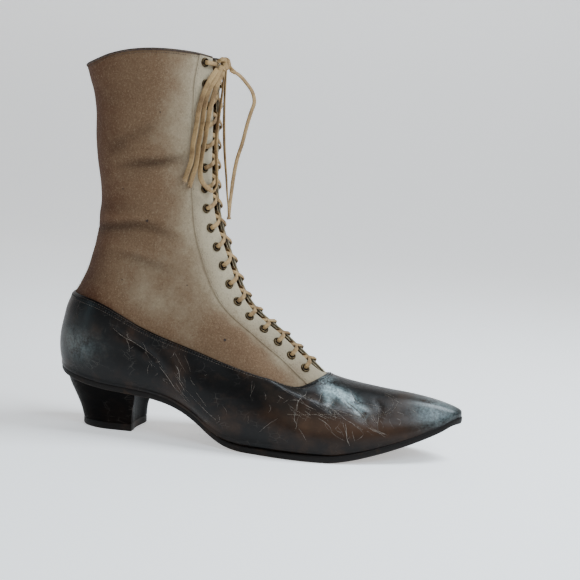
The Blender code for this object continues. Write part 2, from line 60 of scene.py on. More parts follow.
# Camera, worked out from the photo's perspective
camera = {
    "place": (0.2658, -0.6443, 0.1817),
    "azimuth": 13.05,
    "elevation": 7.18,
    "roll": 2.87,
    "lens": 66.04,
    "sensor": 36.0,
}


def makeCamera():
    azimuth, elevation, roll = (math.radians(camera[key]) for key in ("azimuth", "elevation", "roll"))
    back = Vector((
        math.sin(azimuth) * math.cos(elevation), -math.cos(azimuth) * math.cos(elevation), math.sin(elevation),
    ))
    right = Vector((math.cos(azimuth), math.sin(azimuth), 0))
    up = back.cross(right)
    across = right * math.cos(roll) + up * math.sin(roll)
    upright = up * math.cos(roll) - right * math.sin(roll)
    data = bpy.data.cameras.new("camera")
    data.lens = camera["lens"]
    data.sensor_width = camera["sensor"]
    data.clip_start = 0.01
    item = bpy.data.objects.new("camera", data)
    bpy.context.scene.collection.objects.link(item)
    turn = Matrix((across, upright, back)).transposed().to_4x4()
    item.matrix_world = Matrix.Translation(camera["place"]) @ turn
    bpy.context.scene.camera = item


makeCamera()
print("camera set")


# One socket of a material's nodes, with arithmetic
class Value:
    def __init__(self, finish, socket):
        self.finish = finish
        self.socket = socket

    def math(self, operation, *others):
        sockets = {i: other for i, other in enumerate((self, *others))}
        return self.finish.node("ShaderNodeMath", {"operation": operation}, sockets)

    def __add__(self, other):
        return self.math("ADD", other)

    def __sub__(self, other):
        return self.math("SUBTRACT", other)

    def __mul__(self, other):
        return self.math("MULTIPLY", other)

    def __truediv__(self, other):
        return self.math("DIVIDE", other)

    def __pow__(self, other):
        return self.math("POWER", other)

    def __radd__(self, other):
        return self.math("ADD", other)

    def __rmul__(self, other):
        return self.math("MULTIPLY", other)

    def __rsub__(self, other):
        return self.finish.node("ShaderNodeMath", {"operation": "SUBTRACT"}, {0: other, 1: self})

    def __neg__(self):
        return self.math("MULTIPLY", -1.0)

    def max(self, other):
        return self.math("MAXIMUM", other)

    def min(self, other):
        return self.math("MINIMUM", other)

    def ramp(self, low, high, start=0.0, end=1.0):
        sockets = {0: self, 1: low, 2: high, 3: start, 4: end}
        return self.finish.node("ShaderNodeMapRange", {"interpolation_type": "SMOOTHSTEP"}, sockets)


# A material with one Principled shader, built up from nodes
class Finish:
    def __init__(self, name, **fixed):
        self.material = bpy.data.materials.new(name)
        self.material.use_nodes = True
        self.tree = self.material.node_tree
        self.shader = self.tree.nodes["Principled BSDF"]
        for socket, value in fixed.items():
            self.shader.inputs[socket.replace("_", " ")].default_value = value
        self.place = self.node("ShaderNodeTexCoord", {}, {}, "Object")

    def node(self, kind, settings, sockets, out=0):
        node = self.tree.nodes.new(kind)
        for key, value in settings.items():
            setattr(node, key, value)
        for key, value in sockets.items():
            if isinstance(value, Value):
                self.tree.links.new(value.socket, node.inputs[key])
            else:
                node.inputs[key].default_value = value
        return Value(self, node.outputs[out])

    def feed(self, socket, value):
        self.tree.links.new(value.socket, self.shader.inputs[socket])

    def mix(self, low, high, amount, blend="MIX"):
        settings = {"data_type": "RGBA", "blend_type": blend}
        return self.node("ShaderNodeMix", settings, {0: amount, 6: low, 7: high}, 2)

    def noise(self, size, detail=3.0, rough=0.5, stretch=None, place=None, twist=0.0):
        place = place or self.place
        if stretch:
            place = self.node("ShaderNodeMapping", {}, {"Vector": place, "Scale": stretch})
        sockets = {"Vector": place, "Scale": 1 / (size * mm), "Detail": detail, "Roughness": rough, "Distortion": twist}
        return self.node("ShaderNodeTexNoise", {}, sockets)

    def cells(self, size, feature="DISTANCE_TO_EDGE", stretch=None, place=None):
        place = place or self.place
        if stretch:
            place = self.node("ShaderNodeMapping", {}, {"Vector": place, "Scale": stretch})
        sockets = {"Vector": place, "Scale": 1 / (size * mm)}
        return self.node("ShaderNodeTexVoronoi", {"feature": feature}, sockets)

    def attribute(self, name):
        return self.node("ShaderNodeAttribute", {"attribute_name": name}, {}, "Fac")

    def axis(self, which):
        return self.node("ShaderNodeSeparateXYZ", {}, {0: self.place}, which)

    def bump(self, height, distance, strength=1.0):
        sockets = {"Strength": strength, "Distance": distance * mm, "Height": height}
        self.feed("Normal", self.node("ShaderNodeBump", {}, sockets))


# ---- shape of the boot, as in the part's source: smooth tables and rings of the skin
def smooth(knots, values, at):
    knots = np.asarray(knots, float)
    values = np.asarray(values, float)
    slopes = np.gradient(values, knots, axis=0)
    at = np.clip(np.asarray(at, float), knots[0], knots[-1])
    i = np.clip(np.searchsorted(knots, at, side="right") - 1, 0, len(knots) - 2)
    step = knots[i + 1] - knots[i]
    t = (at - knots[i]) / step
    if np.ndim(at) and values.ndim > 1:
        t, step = t[:, None], step[:, None]
    start = (1 + 2 * t) * (1 - t) ** 2
    end = t * t * (3 - 2 * t)
    startSlope = t * (1 - t) ** 2 * step
    endSlope = t * t * (t - 1) * step
    return start * values[i] + end * values[i + 1] + startSlope * slopes[i] + endSlope * slopes[i + 1]


def columns(table):
    return np.array([row[0] for row in table], float), np.array([row[1:] for row in table], float)



# Top face of the sole along the foot: x, z
soleTop = [
    (0, 40.2), (2.5, 40), (8, 38.4), (20, 35.4), (37, 32.4), (55, 30.6), (70, 28.6), (82, 25.6), (92, 21.6),
    (101, 16.6), (109, 11.4), (118, 7), (128, 4.8), (138, 4.4), (160, 4.4), (188, 4.4), (200, 6.2),
    (213, 9.4), (226, 13.4), (239, 18.2), (251, 23.4), (258.5, 27.2), (262, 27.5),
]

# Half widths of the sole: share of the length, outer, inner
soleOutline = [
    (0.00, 52.0, 52.0),
    (0.12, 35.5, 35.0),
    (0.30, 23.5, 20.0),
    (0.50, 33.0, 25.5),
    (0.70, 41.0, 36.5),
    (0.88, 34.5, 31.5),
    (1.00, 30.0, 29.0),
]

# Back of the boot: z, x
backLine = [
    (36, 2.6), (41, 0.8), (48, -0.6), (55, -1), (62, -0.4), (70, 1.3), (79, 3.6), (87, 7.4),
    (95, 11.8), (104, 16), (112, 18.4), (120, 20.6), (134, 22.8), (150, 24), (159, 23.3), (173, 21),
    (186, 19.6), (208, 18.8), (216, 17.3), (223, 15), (232, 12.3),
]

# Ridge of the vamp from the toe to the throat: level, x, z
ridgeLine = [
    (0, 260.4, 28.6), (0.06, 260.2, 30.2), (0.12, 257.6, 31.6), (0.2, 252.5, 33.4), (0.3, 245, 35.4),
    (0.4, 236, 37.1), (0.5, 227, 38.3), (0.6, 217.5, 39.2), (0.7, 208, 40.4), (0.8, 198, 41.8),
    (0.9, 187, 43.8), (1, 176, 46.8),
]

# Levels of the upper: level, seven heights from back to front, x of the throat line
levels = [
    (1, 88, 85, 71, 58.8, 47.6, 41.6, 46.8, 176),
    (2, 98, 96, 88, 79, 70.5, 67.5, 69, 150),
    (3, 112, 110.5, 105, 98, 91.5, 89, 89.5, 124.8),
    (4, 130, 129.5, 128, 126, 124.5, 124, 124, 108.6),
    (5, 150, 150, 149, 148, 147.5, 147, 147, 101.3),
    (6, 175, 175, 175, 175, 175, 175, 175, 98.8),
    (7, 205, 205.5, 206, 207, 207.5, 207.5, 207, 98.2),
    (8, 231.5, 233.5, 237.5, 240.6, 241, 240.2, 239, 96.4),
]
levelShares = (0, 0.15, 0.33, 0.57, 0.80, 0.93, 1)
widthShares = (0, 0.12, 0.30, 0.50, 0.70, 0.88, 1)

# Half-width factors by level, at seven shares of each ring
outerWidths = [
    (0.0, (49.0, 33.5, 22.5, 29.8, 37.5, 31.5, 26.0)),
    (0.2, (50.5, 40.0, 28.5, 33.5, 40.0, 35.5, 29.5)),
    (0.5, (47.0, 41.5, 29.8, 33.0, 38.0, 38.5, 34.5)),
    (0.8, (43.0, 40.5, 29.8, 30.0, 35.5, 40.0, 37.5)),
    (1.0, (39.5, 38.8, 29.5, 28.5, 34.0, 39.5, 38.0)),
    (2.0, (33.0, 35.5, 29.0, 27.8, 29.0, 31.5, 32.0)),
    (3.0, (30.0, 31.5, 28.8, 28.0, 28.0, 29.8, 31.0)),
    (4.0, (27.0, 28.8, 28.4, 28.2, 28.2, 28.8, 29.5)),
    (5.0, (26.5, 28.2, 28.4, 28.4, 28.4, 28.4, 28.4)),
    (6.0, (28.0, 29.8, 30.2, 30.2, 30.2, 29.8, 29.2)),
    (7.0, (29.5, 31.2, 32.0, 32.0, 31.8, 31.0, 30.2)),
    (8.0, (31.5, 33.2, 34.0, 34.0, 33.4, 32.4, 31.0)),
]
innerFootWidths = [
    (0.0, (49.0, 33.0, 19.0, 24.0, 34.5, 29.5, 26.0)),
    (0.2, (50.5, 39.5, 25.0, 28.5, 38.0, 33.5, 29.5)),
    (0.5, (47.0, 41.0, 28.0, 29.8, 36.5, 37.0, 34.0)),
    (0.8, (43.0, 40.2, 29.2, 29.2, 34.5, 38.5, 37.0)),
    (1.0, (39.5, 38.5, 29.2, 28.3, 33.2, 39.0, 38.0)),
]
innerWidths = innerFootWidths + outerWidths[len(innerFootWidths):]

# Half width of the open throat: level, half gap
throatGap = [(1.05, 3.4), (1.25, 4.8), (2, 5.5), (3, 6), (5, 6.4), (8, 6.6)]

soleThickness = 4.4
wallThickness = 1.8
throatBottom = 1.05
seatHeight = 41.0
featherBand = 0.05
pieceGap = 0.3
toeShift, toeShiftStart, soleLength = 7.0, 110.0, 262.0
topLevel = 8.0
toeX = ridgeLine[0][1]
levelTable = np.array(levels, float)


def lookUp(table, at):
    knots, values = columns(table)
    return smooth(knots, values[:, 0], at)


def middleLine(x):
    past = np.maximum(0.0, np.asarray(x, float) - toeShiftStart) / (soleLength - toeShiftStart)
    return toeShift * past * past


def soleTopAt(x):
    return np.maximum(soleThickness, lookUp(soleTop, x))


def frontPoint(level):
    if level <= 1:
        x, z = smooth(*columns(ridgeLine), level)
        return float(x), float(z)
    z, x = smooth(levelTable[:, 0], levelTable[:, 7:9], level)
    return float(x), float(z)


def ringSide(level, share):
    frontX, frontZ = frontPoint(level)
    if level >= 1:
        heights = smooth(levelTable[:, 0], levelTable[:, 1:8], level)
        backX = lookUp(backLine, heights[0])
        return backX + (frontX - backX) * share, smooth(levelShares, heights, share)
    featherBack = float(soleTopAt(lookUp(backLine, seatHeight))) + pieceGap
    foxing = levelTable[0, 1:8]
    backX = lookUp(backLine, featherBack + (foxing[0] - featherBack) * level)
    featherX = lookUp(backLine, featherBack)
    feather = soleTopAt(featherX + (toeX - featherX) * share) + pieceGap
    height = feather + (smooth(levelShares, foxing, share) - feather) * level
    toeFeather = float(soleTopAt(toeX)) + pieceGap
    lift = frontZ - toeFeather - (foxing[-1] - toeFeather) * level
    return backX + (frontX - backX) * share, height + lift * share ** 4


# Points of the skin at one level, for arrays of angles from 0 at the back to pi at the front. Negative
# angles are on the outer side and positive ones on the inner side.
def skin(level, angles):
    angles = np.asarray(angles, float)
    share = (1 - np.cos(angles)) / 2
    upright = max(level, featherBand)
    x, z = ringSide(upright, share)
    widths = []
    for table in (outerWidths, innerWidths):
        knots = np.array([row[0] for row in table], float)
        row = smooth(knots, np.array([row[1] for row in table], float), upright)
        widths.append(smooth(widthShares, row, share))
    half = np.where(angles < 0, widths[0], widths[1])
    y = middleLine(x) + half * np.sin(angles)
    if level < featherBand:
        foot = soleTopAt(x) + pieceGap
        z = foot + (z - foot) * level / featherBand
    return np.stack([x, y, z], axis=-1)


def skinNormal(level, angles):
    step = 0.004
    angles = np.asarray(angles, float)
    alongLevel = skin(min(topLevel, level + step), angles) - skin(max(0.0, level - step), angles)
    alongRing = skin(level, angles + step) - skin(level, angles - step)
    normal = -np.cross(alongRing, alongLevel)
    return normal / np.linalg.norm(normal, axis=-1, keepdims=True)


def gapAt(level):
    if level <= throatBottom:
        return 0.0
    rounding = min(1.0, (level - throatBottom) / throatShape["rounding"])
    return float(lookUp(throatGap, level)) * math.sqrt(rounding * (2 - rounding))


throatShape = {"rounding": 0.13}


def frontWidth(level, side):
    table = outerWidths if side < 0 else innerWidths
    knots = np.array([row[0] for row in table], float)
    return float(smooth(knots, np.array([row[1][-1] for row in table], float), level))


def lastAngle(level, side):
    return math.pi - math.asin(gapAt(level) / frontWidth(level, side))


# Dense table of the skin and its normals, for looking up many places at once
skinTable = {
    "levels": np.concatenate([np.linspace(0, 1, 121)[:-1], np.linspace(1, topLevel, 281)]),
    "angles": np.linspace(-math.pi, math.pi, 721),
}
skinTable["places"] = np.array([skin(level, skinTable["angles"]) for level in skinTable["levels"]])
skinTable["normals"] = np.array([skinNormal(level, skinTable["angles"]) for level in skinTable["levels"]])


def skinAt(levelsAt, anglesAt):
    rows = np.interp(levelsAt, skinTable["levels"], np.arange(len(skinTable["levels"])))
    lanes = np.interp(anglesAt, skinTable["angles"], np.arange(len(skinTable["angles"])))
    r = np.clip(rows.astype(int), 0, len(skinTable["levels"]) - 2)
    c = np.clip(lanes.astype(int), 0, len(skinTable["angles"]) - 2)
    u, v = (rows - r)[:, None], (lanes - c)[:, None]
    found = []
    for key in ("places", "normals"):
        table = skinTable[key]
        low = table[r, c] * (1 - v) + table[r, c + 1] * v
        high = table[r + 1, c] * (1 - v) + table[r + 1, c + 1] * v
        found.append(low * (1 - u) + high * u)
    return found[0], found[1] / np.linalg.norm(found[1], axis=1, keepdims=True)


# A path on the skin through (level, angle) points of the outer side, or of the inner side with mirror
def skinPath(points, offset, step=1.0, mirror=False):
    points = np.array(points, float)
    side = 1 if mirror else -1
    shares = np.linspace(0, 1, 30 * len(points))
    fine = smooth(np.linspace(0, 1, len(points)), points, shares)
    places, _ = skinAt(fine[:, 0], side * fine[:, 1])
    lengths = np.concatenate([[0], np.cumsum(np.linalg.norm(np.diff(places, axis=0), axis=1))])
    wanted = np.arange(0, lengths[-1], step)
    chosen = [np.interp(wanted, lengths, fine[:, i]) for i in range(2)]
    base, normals = skinAt(chosen[0], side * chosen[1])
    return base + normals * offset, normals


# A path on the skin at a fixed distance under one level, all round the boot
def edgePath(level, below, offset, reach=1.0, step=1.0):
    last = math.pi * reach
    angles = np.linspace(-last, last, 1400)
    low = skin(level - 0.02, angles)
    high = skin(level, angles)
    speed = np.linalg.norm(high - low, axis=1) / 0.02
    ways = (low - high) / np.linalg.norm(high - low, axis=1, keepdims=True)
    places = high + ways * below
    normals = skinNormal(level - 0.02, angles)
    lengths = np.concatenate([[0], np.cumsum(np.linalg.norm(np.diff(places, axis=0), axis=1))])
    wanted = np.arange(0, lengths[-1], step)
    pick = lambda values: np.stack([np.interp(wanted, lengths, values[:, i]) for i in range(3)], axis=-1)
    return pick(places + normals * offset), pick(normals)


# ---- meshes
def newPiece(name, points, faces, finish, smoothShade=True):
    mesh = bpy.data.meshes.new(name)
    mesh.from_pydata(toScene(points).tolist(), [], faces)
    if smoothShade:
        mesh.shade_smooth()
    mesh.materials.append(finish.material)
    item = bpy.data.objects.new(name, mesh)
    bpy.context.scene.collection.objects.link(item)
    return item


def gridFaces(rows, width, wrapRows=False, wrapColumns=False):
    index = np.arange(rows * width).reshape(rows, width)
    if wrapColumns:
        index = np.concatenate([index, index[:, :1]], axis=1)
    if wrapRows:
        index = np.concatenate([index, index[:1]], axis=0)
    quads = np.stack([index[:-1, :-1], index[1:, :-1], index[1:, 1:], index[:-1, 1:]], axis=-1)
    return quads.reshape(-1, 4).tolist()


def gridPiece(name, grid, finish, attributes=None, weld=True):
    grid = np.asarray(grid)
    rows, width = grid.shape[:2]
    item = newPiece(name, grid.reshape(-1, 3), gridFaces(rows, width), finish)
    for key, values in (attributes or {}).items():
        layer = item.data.attributes.new(key, "FLOAT", "POINT")
        layer.data.foreach_set("value", np.asarray(values, np.float32).ravel())
    if weld:
        work = bmesh.new()
        work.from_mesh(item.data)
        bmesh.ops.remove_doubles(work, verts=work.verts, dist=0.000002)
        work.to_mesh(item.data)
        work.free()
        item.data.shade_smooth()
    return item


def thicken(item, thickness, outward=False):
    modifier = item.modifiers.new("thickness", "SOLIDIFY")
    modifier.thickness = thickness * mm
    modifier.offset = 1 if outward else -1
    return item


# Tube with a given cross-section swept along points. Each point has a width direction.
def sweep(points, wides, section, closed=False):
    points = np.asarray(points, float)
    travels = np.gradient(points, axis=0)
    travels /= np.linalg.norm(travels, axis=1, keepdims=True)
    wides = wides - travels * np.sum(wides * travels, axis=1, keepdims=True)
    wides /= np.linalg.norm(wides, axis=1, keepdims=True)
    thicks = np.cross(travels, wides)
    section = np.asarray(section, float)
    rings = points[:, None] + wides[:, None] * section[None, :, :1] + thicks[:, None] * section[None, :, 1:]
    count = len(section)
    faces = gridFaces(len(points), count, wrapColumns=True)
    faces = [face[::-1] for face in faces]
    if not closed:
        faces.append(list(range(count)))
        end = (len(points) - 1) * count
        faces.append([end + i for i in reversed(range(count))])
    return rings.reshape(-1, 3), faces


def joined(shapes):
    points, faces, start = [], [], 0
    for shapePoints, shapeFaces in shapes:
        points.append(np.asarray(shapePoints))
        faces += [[start + i for i in face] for face in shapeFaces]
        start += len(shapePoints)
    return np.concatenate(points), faces


# One short stitch: a small capsule along a direction, sunk a little at its ends
def stitchShapes(places, normals, pitch, length, radius, sides=6):
    lengths = np.concatenate([[0], np.cumsum(np.linalg.norm(np.diff(places, axis=0), axis=1))])
    count = int(lengths[-1] // pitch)
    wanted = (np.arange(count) + 0.5) * pitch
    pick = lambda values, at: np.stack([np.interp(at, lengths, values[:, i]) for i in range(3)], axis=-1)
    middles, ups = pick(places, wanted), pick(normals, wanted)
    ways = pick(places, wanted + 0.2) - pick(places, wanted - 0.2)
    ways /= np.linalg.norm(ways, axis=1, keepdims=True)
    ups -= ways * np.sum(ups * ways, axis=1, keepdims=True)
    ups /= np.linalg.norm(ups, axis=1, keepdims=True)
    sideways = np.cross(ways, ups)
    turn = np.linspace(0, 2 * math.pi, sides, endpoint=False)
    profile = ((-0.5, 0.25, -0.7), (-0.36, 0.8, -0.15), (0, 1.0, 0.15), (0.36, 0.8, -0.15), (0.5, 0.25, -0.7))
    rings = []
    for along, size, lift in profile:
        centre = middles + ways * along * length + ups * lift * radius
        ring = centre[:, None] + radius * size * (
            sideways[:, None] * np.cos(turn)[None, :, None] + ups[:, None] * np.sin(turn)[None, :, None]
        )
        rings.append(ring)
    grid = np.stack(rings, axis=1)
    base = [face[::-1] for face in gridFaces(len(profile), sides, wrapColumns=True)]
    last = (len(profile) - 1) * sides
    base += [list(range(sides)), [last + i for i in reversed(range(sides))]]
    faces = []
    for i in range(count):
        start = i * len(profile) * sides
        faces += [[start + corner for corner in face] for face in base]
    return grid.reshape(-1, 3), faces


def rideRoot(item, slot, *nodes):
    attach(item, "root")
    if nodes:
        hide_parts(*nodes)
    return item


# Depth of soft creases at points: each crease is a path with a depth and a half width
def creaseDepth(points, creases):
    flat = points.reshape(-1, 3)
    total = np.zeros(len(flat))
    for crease in creases:
        line, _ = skinPath(crease["line"], 0.0, 1.5, crease.get("mirror", False))
        taper = np.sin(np.linspace(0.12, math.pi - 0.12, len(line))) ** 0.7
        reach = 3 * crease["width"]
        inside = np.all((flat > line.min(axis=0) - reach) & (flat < line.max(axis=0) + reach), axis=1)
        close = flat[inside]
        apart = np.linalg.norm(close[:, None] - line[None], axis=2)
        nearest = apart.argmin(axis=1)
        near = apart[np.arange(len(close)), nearest]
        total[inside] += crease["depth"] * taper[nearest] * np.exp(-(near / crease["width"]) ** 2)
    return total.reshape(points.shape[:-1])


# ---- laces: flat braid, cream tan, darker where it is handled
laceLook = {
    "width": 3.0,
    "thickness": 1.0,
    "light": linear(168, 138, 94),
    "dark": linear(94, 67, 40),
    "ribs": 0.9,
    "bump": 0.14,
}


def laceFinish():
    finish = Finish("lace_braid", Roughness=0.92)
    along = finish.attribute("along")
    across = finish.attribute("across")
    chevron = finish.node("ShaderNodeMath", {"operation": "ABSOLUTE"}, {0: across})
    phase = (along / laceLook["ribs"] + chevron * 1.1) * (2 * math.pi)
    ribs = finish.node("ShaderNodeMath", {"operation": "SINE"}, {0: phase}) * 0.5 + 0.5
    mottle = finish.noise(9, 3)
    soil = finish.noise(1.1, 4, 0.6)
    tone = mottle.ramp(0.35, 0.7) * 0.55 + soil.ramp(0.3, 0.75) * 0.3 + (1 - ribs) * 0.25
    finish.feed("Base Color", finish.mix(laceLook["light"], laceLook["dark"], tone.min(1.0)))
    finish.bump(ribs * 0.8 + soil * 0.4, laceLook["bump"])
    return finish


# Half outline of the flat braid's section, as across and through in millimetres
def braidSection(width, thickness, corners=5):
    edge = thickness / 2
    flat = width / 2 - edge
    turn = np.linspace(-math.pi / 2, math.pi / 2, corners)
    right = [(flat + edge * math.cos(a), edge * math.sin(a)) for a in turn]
    left = [(-x, -y) for x, y in right]
    middle = [(0.0, edge * 1.05)]
    return right + middle + left + [(0.0, -edge * 1.05)]


def braidPiece(name, points, wides, finish, width=None, taper=0.0):
    width = width or laceLook["width"]
    section = np.array(braidSection(width, laceLook["thickness"]))
    shapePoints, faces = sweep(points, wides, section)
    item = newPiece(name, shapePoints, faces, finish)
    lengths = np.concatenate([[0], np.cumsum(np.linalg.norm(np.diff(points, axis=0), axis=1))])
    values = {"along": np.repeat(lengths, len(section)), "across": np.tile(section[:, 0], len(points))}
    for key, value in values.items():
        layer = item.data.attributes.new(key, "FLOAT", "POINT")
        layer.data.foreach_set("value", value.astype(np.float32))
    return item


# Points at an even spacing on a smooth curve through a route. Further columns of the route come along.
def evenPoints(route, spacing):
    route = np.array(route, float)
    along = np.concatenate([[0], np.cumsum(np.linalg.norm(np.diff(route[:, :3], axis=0), axis=1))])
    fine = smooth(along, route, np.linspace(0, along[-1], 16 * len(route)))
    lengths = np.concatenate([[0], np.cumsum(np.linalg.norm(np.diff(fine[:, :3], axis=0), axis=1))])
    count = max(4, round(lengths[-1] / spacing) + 1)
    wanted = np.linspace(0, lengths[-1], count)
    return np.stack([np.interp(wanted, lengths, fine[:, i]) for i in range(fine.shape[1])], axis=-1), lengths[-1]


# The bow's cords: x, y, z of the route, and the turn of the braid's flat side in degrees, where 0 faces
# the viewer's side and 90 faces the toe
bowRoutes = {
    "bow_loop_outer": [
        (102.5, -2.6, 233.9, 40), (101.5, -6.2, 228, 30), (99.9, -11.5, 219, 20), (98.3, -14.2, 209.5, 10),
        (97.5, -15.8, 200.3, 0), (96.3, -16.5, 189.3, -10), (94.6, -17.9, 174.6, -10), (94.6, -18.6, 168.6, 10),
        (96.2, -18.4, 163, 30), (99.2, -16.8, 159.5, 50), (101.6, -13.4, 157.7, 60), (102.8, -10.4, 160.4, 60),
        (102.7, -10, 166.5, 50), (102.1, -10.7, 178, 40), (101.6, -11, 186, 40), (101.8, -9.9, 197.6, 40),
        (102.1, -6.5, 210, 50), (102.2, -3.5, 222, 60), (102, -1.6, 231.3, 60),
    ],
    "bow_loop_inner": [
        (104.2, 3.4, 232.8, 60), (108.5, 6.2, 230.8, 60), (113.7, 9, 225.5, 60), (117.6, 11.2, 219.4, 60),
        (118.7, 11.5, 214, 60), (117, 11.5, 208.2, 60), (115.2, 11.5, 202, 60), (112, 11, 187.6, 60),
        (109.2, 11, 178, 60), (107.4, 10.8, 166.6, 60), (106.4, 10.6, 156, 65), (106.1, 9.6, 147.6, 75),
        (106.6, 7.3, 142.1, 85), (107.3, 4.5, 140.4, 90), (107.9, 1.8, 142.2, 85), (107.9, 0, 147.8, 75),
        (106.8, 0.2, 156, 65), (105.6, 0.8, 166, 60), (103.8, 0.8, 182, 50), (102.4, 1.4, 202, 50),
        (102, 1.8, 216, 55), (102.3, 1.7, 233.8, 60),
    ],
    "bow_end_outer": [
        (101.6, -5, 234.6, 30), (99.4, -10.4, 226, 20), (96.6, -15, 217.5, 10), (95.1, -17.4, 207, 0),
        (94.5, -18.2, 197, -10), (93.2, -19.4, 185.5, -10), (92.3, -20.1, 173.5, 0), (90.7, -21.7, 166, 20),
        (89.3, -23, 159.5, 20),
    ],
    "bow_end_under": [
        (100.2, -9.5, 232.4, 30), (97.7, -14.6, 226, 20), (94.5, -18.4, 216, 10), (92.7, -20.4, 206, 10),
        (91.8, -21.3, 196, 0), (90.5, -22.4, 185, 0), (89.9, -23, 175, 0), (88.3, -24.5, 168.5, 10),
        (87.1, -25.8, 163, 10),
    ],
}


# Width direction of the braid: across the cord, turned about it from the side that faces the viewer
def braidWides(route):
    travels = np.gradient(route[:, :3], axis=0)
    travels /= np.linalg.norm(travels, axis=1, keepdims=True)
    outwards = np.array([0, -1.0, 0])
    wides = np.cross(travels, outwards)
    wides /= np.linalg.norm(wides, axis=1, keepdims=True)
    flats = np.cross(wides, travels)
    turn = np.radians(route[:, 3])[:, None]
    return wides * np.cos(turn) + flats * np.sin(turn)


def makeBow(finish):
    made = []
    for name, route in bowRoutes.items():
        fine, length = evenPoints(route, 1.2)
        wides = braidWides(fine)
        # Over a loop's turn the travel reverses, so each width keeps to the side of the one before it
        for i in range(1, len(wides)):
            if wides[i] @ wides[i - 1] < 0:
                wides[i:] *= -1
        cord = rideRoot(braidPiece("lace_" + name, fine[:, :3], wides, finish), "lace_braid", name)
        path = toScene(fine[:, :3])
        laceLook["width"] * mm
        made.append(cord)
        print(name, "length", round(length, 1))
    return made


# Knot: a wrap round the loops' roots and two humps beside it
knotRoutes = [
    [(103.3, -1.6, 233.2), (104.6, -0.8, 236), (103.9, 0.3, 239.0), (101.2, 0.8, 239.4), (99.7, 1.4, 236.6),
     (100.8, 2.0, 234.2), (103.2, 2.2, 233.6), (104.7, 1.6, 236.2), (103.4, 0.4, 238.6), (100.9, -1.6, 238.9)],
    [(98.8, -4.6, 236.6), (100.6, -3.8, 238.4), (103.0, -2.2, 238.2), (104.0, 0.6, 236.4), (103.2, 3.4, 234.6),
     (101.2, 4.6, 235.0), (99.4, 4.2, 236.8)],
    [(99.2, -1.4, 237.8), (98.9, 1.4, 239.2), (100.2, 4.0, 238.8), (101.8, 4.4, 236.6)],
    [(101.6, 0.6, 238.2), (103.2, 2.0, 236.6), (104.4, 3.2, 234.4), (105.6, 4.2, 232.6), (107.2, 5.2, 231.4)],
    [(101.0, -1.0, 238.0), (102.6, -2.6, 236.4), (103.0, -3.6, 234.2), (102.4, -4.4, 232.2)],
]


def makeKnot(finish):
    shapes = []
    values = []
    section = np.array(braidSection(3.1, laceLook["thickness"] * 1.15))
    for route in knotRoutes:
        fine, _ = evenPoints(route, 0.5)
        centre = np.array([101.8, 0, 236.6])
        outward = fine - centre
        travels = np.gradient(fine, axis=0)
        wides = np.cross(travels, outward)
        for i in range(1, len(wides)):
            if wides[i] @ wides[i - 1] < 0:
                wides[i] *= -1
        shapes.append(sweep(fine, wides, section))
        lengths = np.concatenate([[0], np.cumsum(np.linalg.norm(np.diff(fine, axis=0), axis=1))])
        values.append((np.repeat(lengths, len(section)), np.tile(section[:, 0], len(fine))))
    item = newPiece("lace_knot", *joined(shapes), finish)
    for key, value in zip(("along", "across"), zip(*values)):
        layer = item.data.attributes.new(key, "FLOAT", "POINT")
        layer.data.foreach_set("value", np.concatenate(value).astype(np.float32))
    return rideRoot(item, "lace_braid", "bow_knot")


braid = laceFinish()
makeBow(braid)
makeKnot(braid)
print("bow tied")


# ---- cloth: felted wool, lighter by the facing and redder towards the back
clothLook = {
    "front": linear(156, 144, 121),
    "middle": linear(104, 81, 61),
    "back": linear(76, 45, 27),
    # dark colour for soil blotches and for painted shade in the creases
    "soil": linear(42, 22, 11),
    "nap": 0.55,
    "fleck": 1.3,
    "bump": 0.22,
}


def clothFinish():
    finish = Finish("wool_cloth", Roughness=0.96, Specular_IOR_Level=0.08, Sheen_Weight=0.06, Sheen_Roughness=0.6)
    forward = finish.attribute("forward")
    shade = finish.attribute("shade")
    broad = finish.noise(34, 4, 0.6)
    blotch = finish.noise(9, 5, 0.62)
    fleck = finish.noise(clothLook["fleck"], 4, 0.7)
    nap = finish.noise(clothLook["nap"], 2, 0.7)
    tone = forward + (broad - 0.5) * 0.5 + (blotch - 0.5) * 0.34
    colour = finish.mix(clothLook["back"], clothLook["middle"], tone.ramp(0.1, 0.6))
    colour = finish.mix(colour, clothLook["front"], tone.ramp(0.6, 1.28))
    # Painted shade: darker in the creases' hollows through the shade attribute, with dark soil blotches
    colour = finish.mix(colour, clothLook["soil"], (shade * 0.72 + blotch.ramp(0.62, 0.8) * 0.14).min(0.85))
    colour = finish.mix(colour, linear(196, 178, 146), fleck.ramp(0.5, 0.74) * 0.13 + nap.ramp(0.55, 0.8) * 0.22)
    colour = finish.mix(colour, linear(44, 26, 14), (1 - fleck.ramp(0.28, 0.5)) * 0.24 + (1 - nap.ramp(0.2, 0.46)) * 0.3)
    finish.feed("Base Color", colour)
    finish.bump(nap * 0.6 + fleck * 0.7 + blotch * 0.5, clothLook["bump"])
    return finish


# Line of the seam that sews the facing on, by level and angle from the back
facingSeam = [
    (0.9, 2.69), (1.0, 2.69), (1.25, 2.665), (1.62, 2.612), (1.92, 2.53), (2.3, 2.468), (2.72, 2.43),
    (3.13, 2.385), (3.46, 2.35), (3.88, 2.335), (4.34, 2.345), (5.1, 2.385), (5.63, 2.4), (6.04, 2.405),
    (6.36, 2.415), (6.71, 2.42), (7.15, 2.44), (7.44, 2.465), (7.74, 2.53), (8.0, 2.6),
]

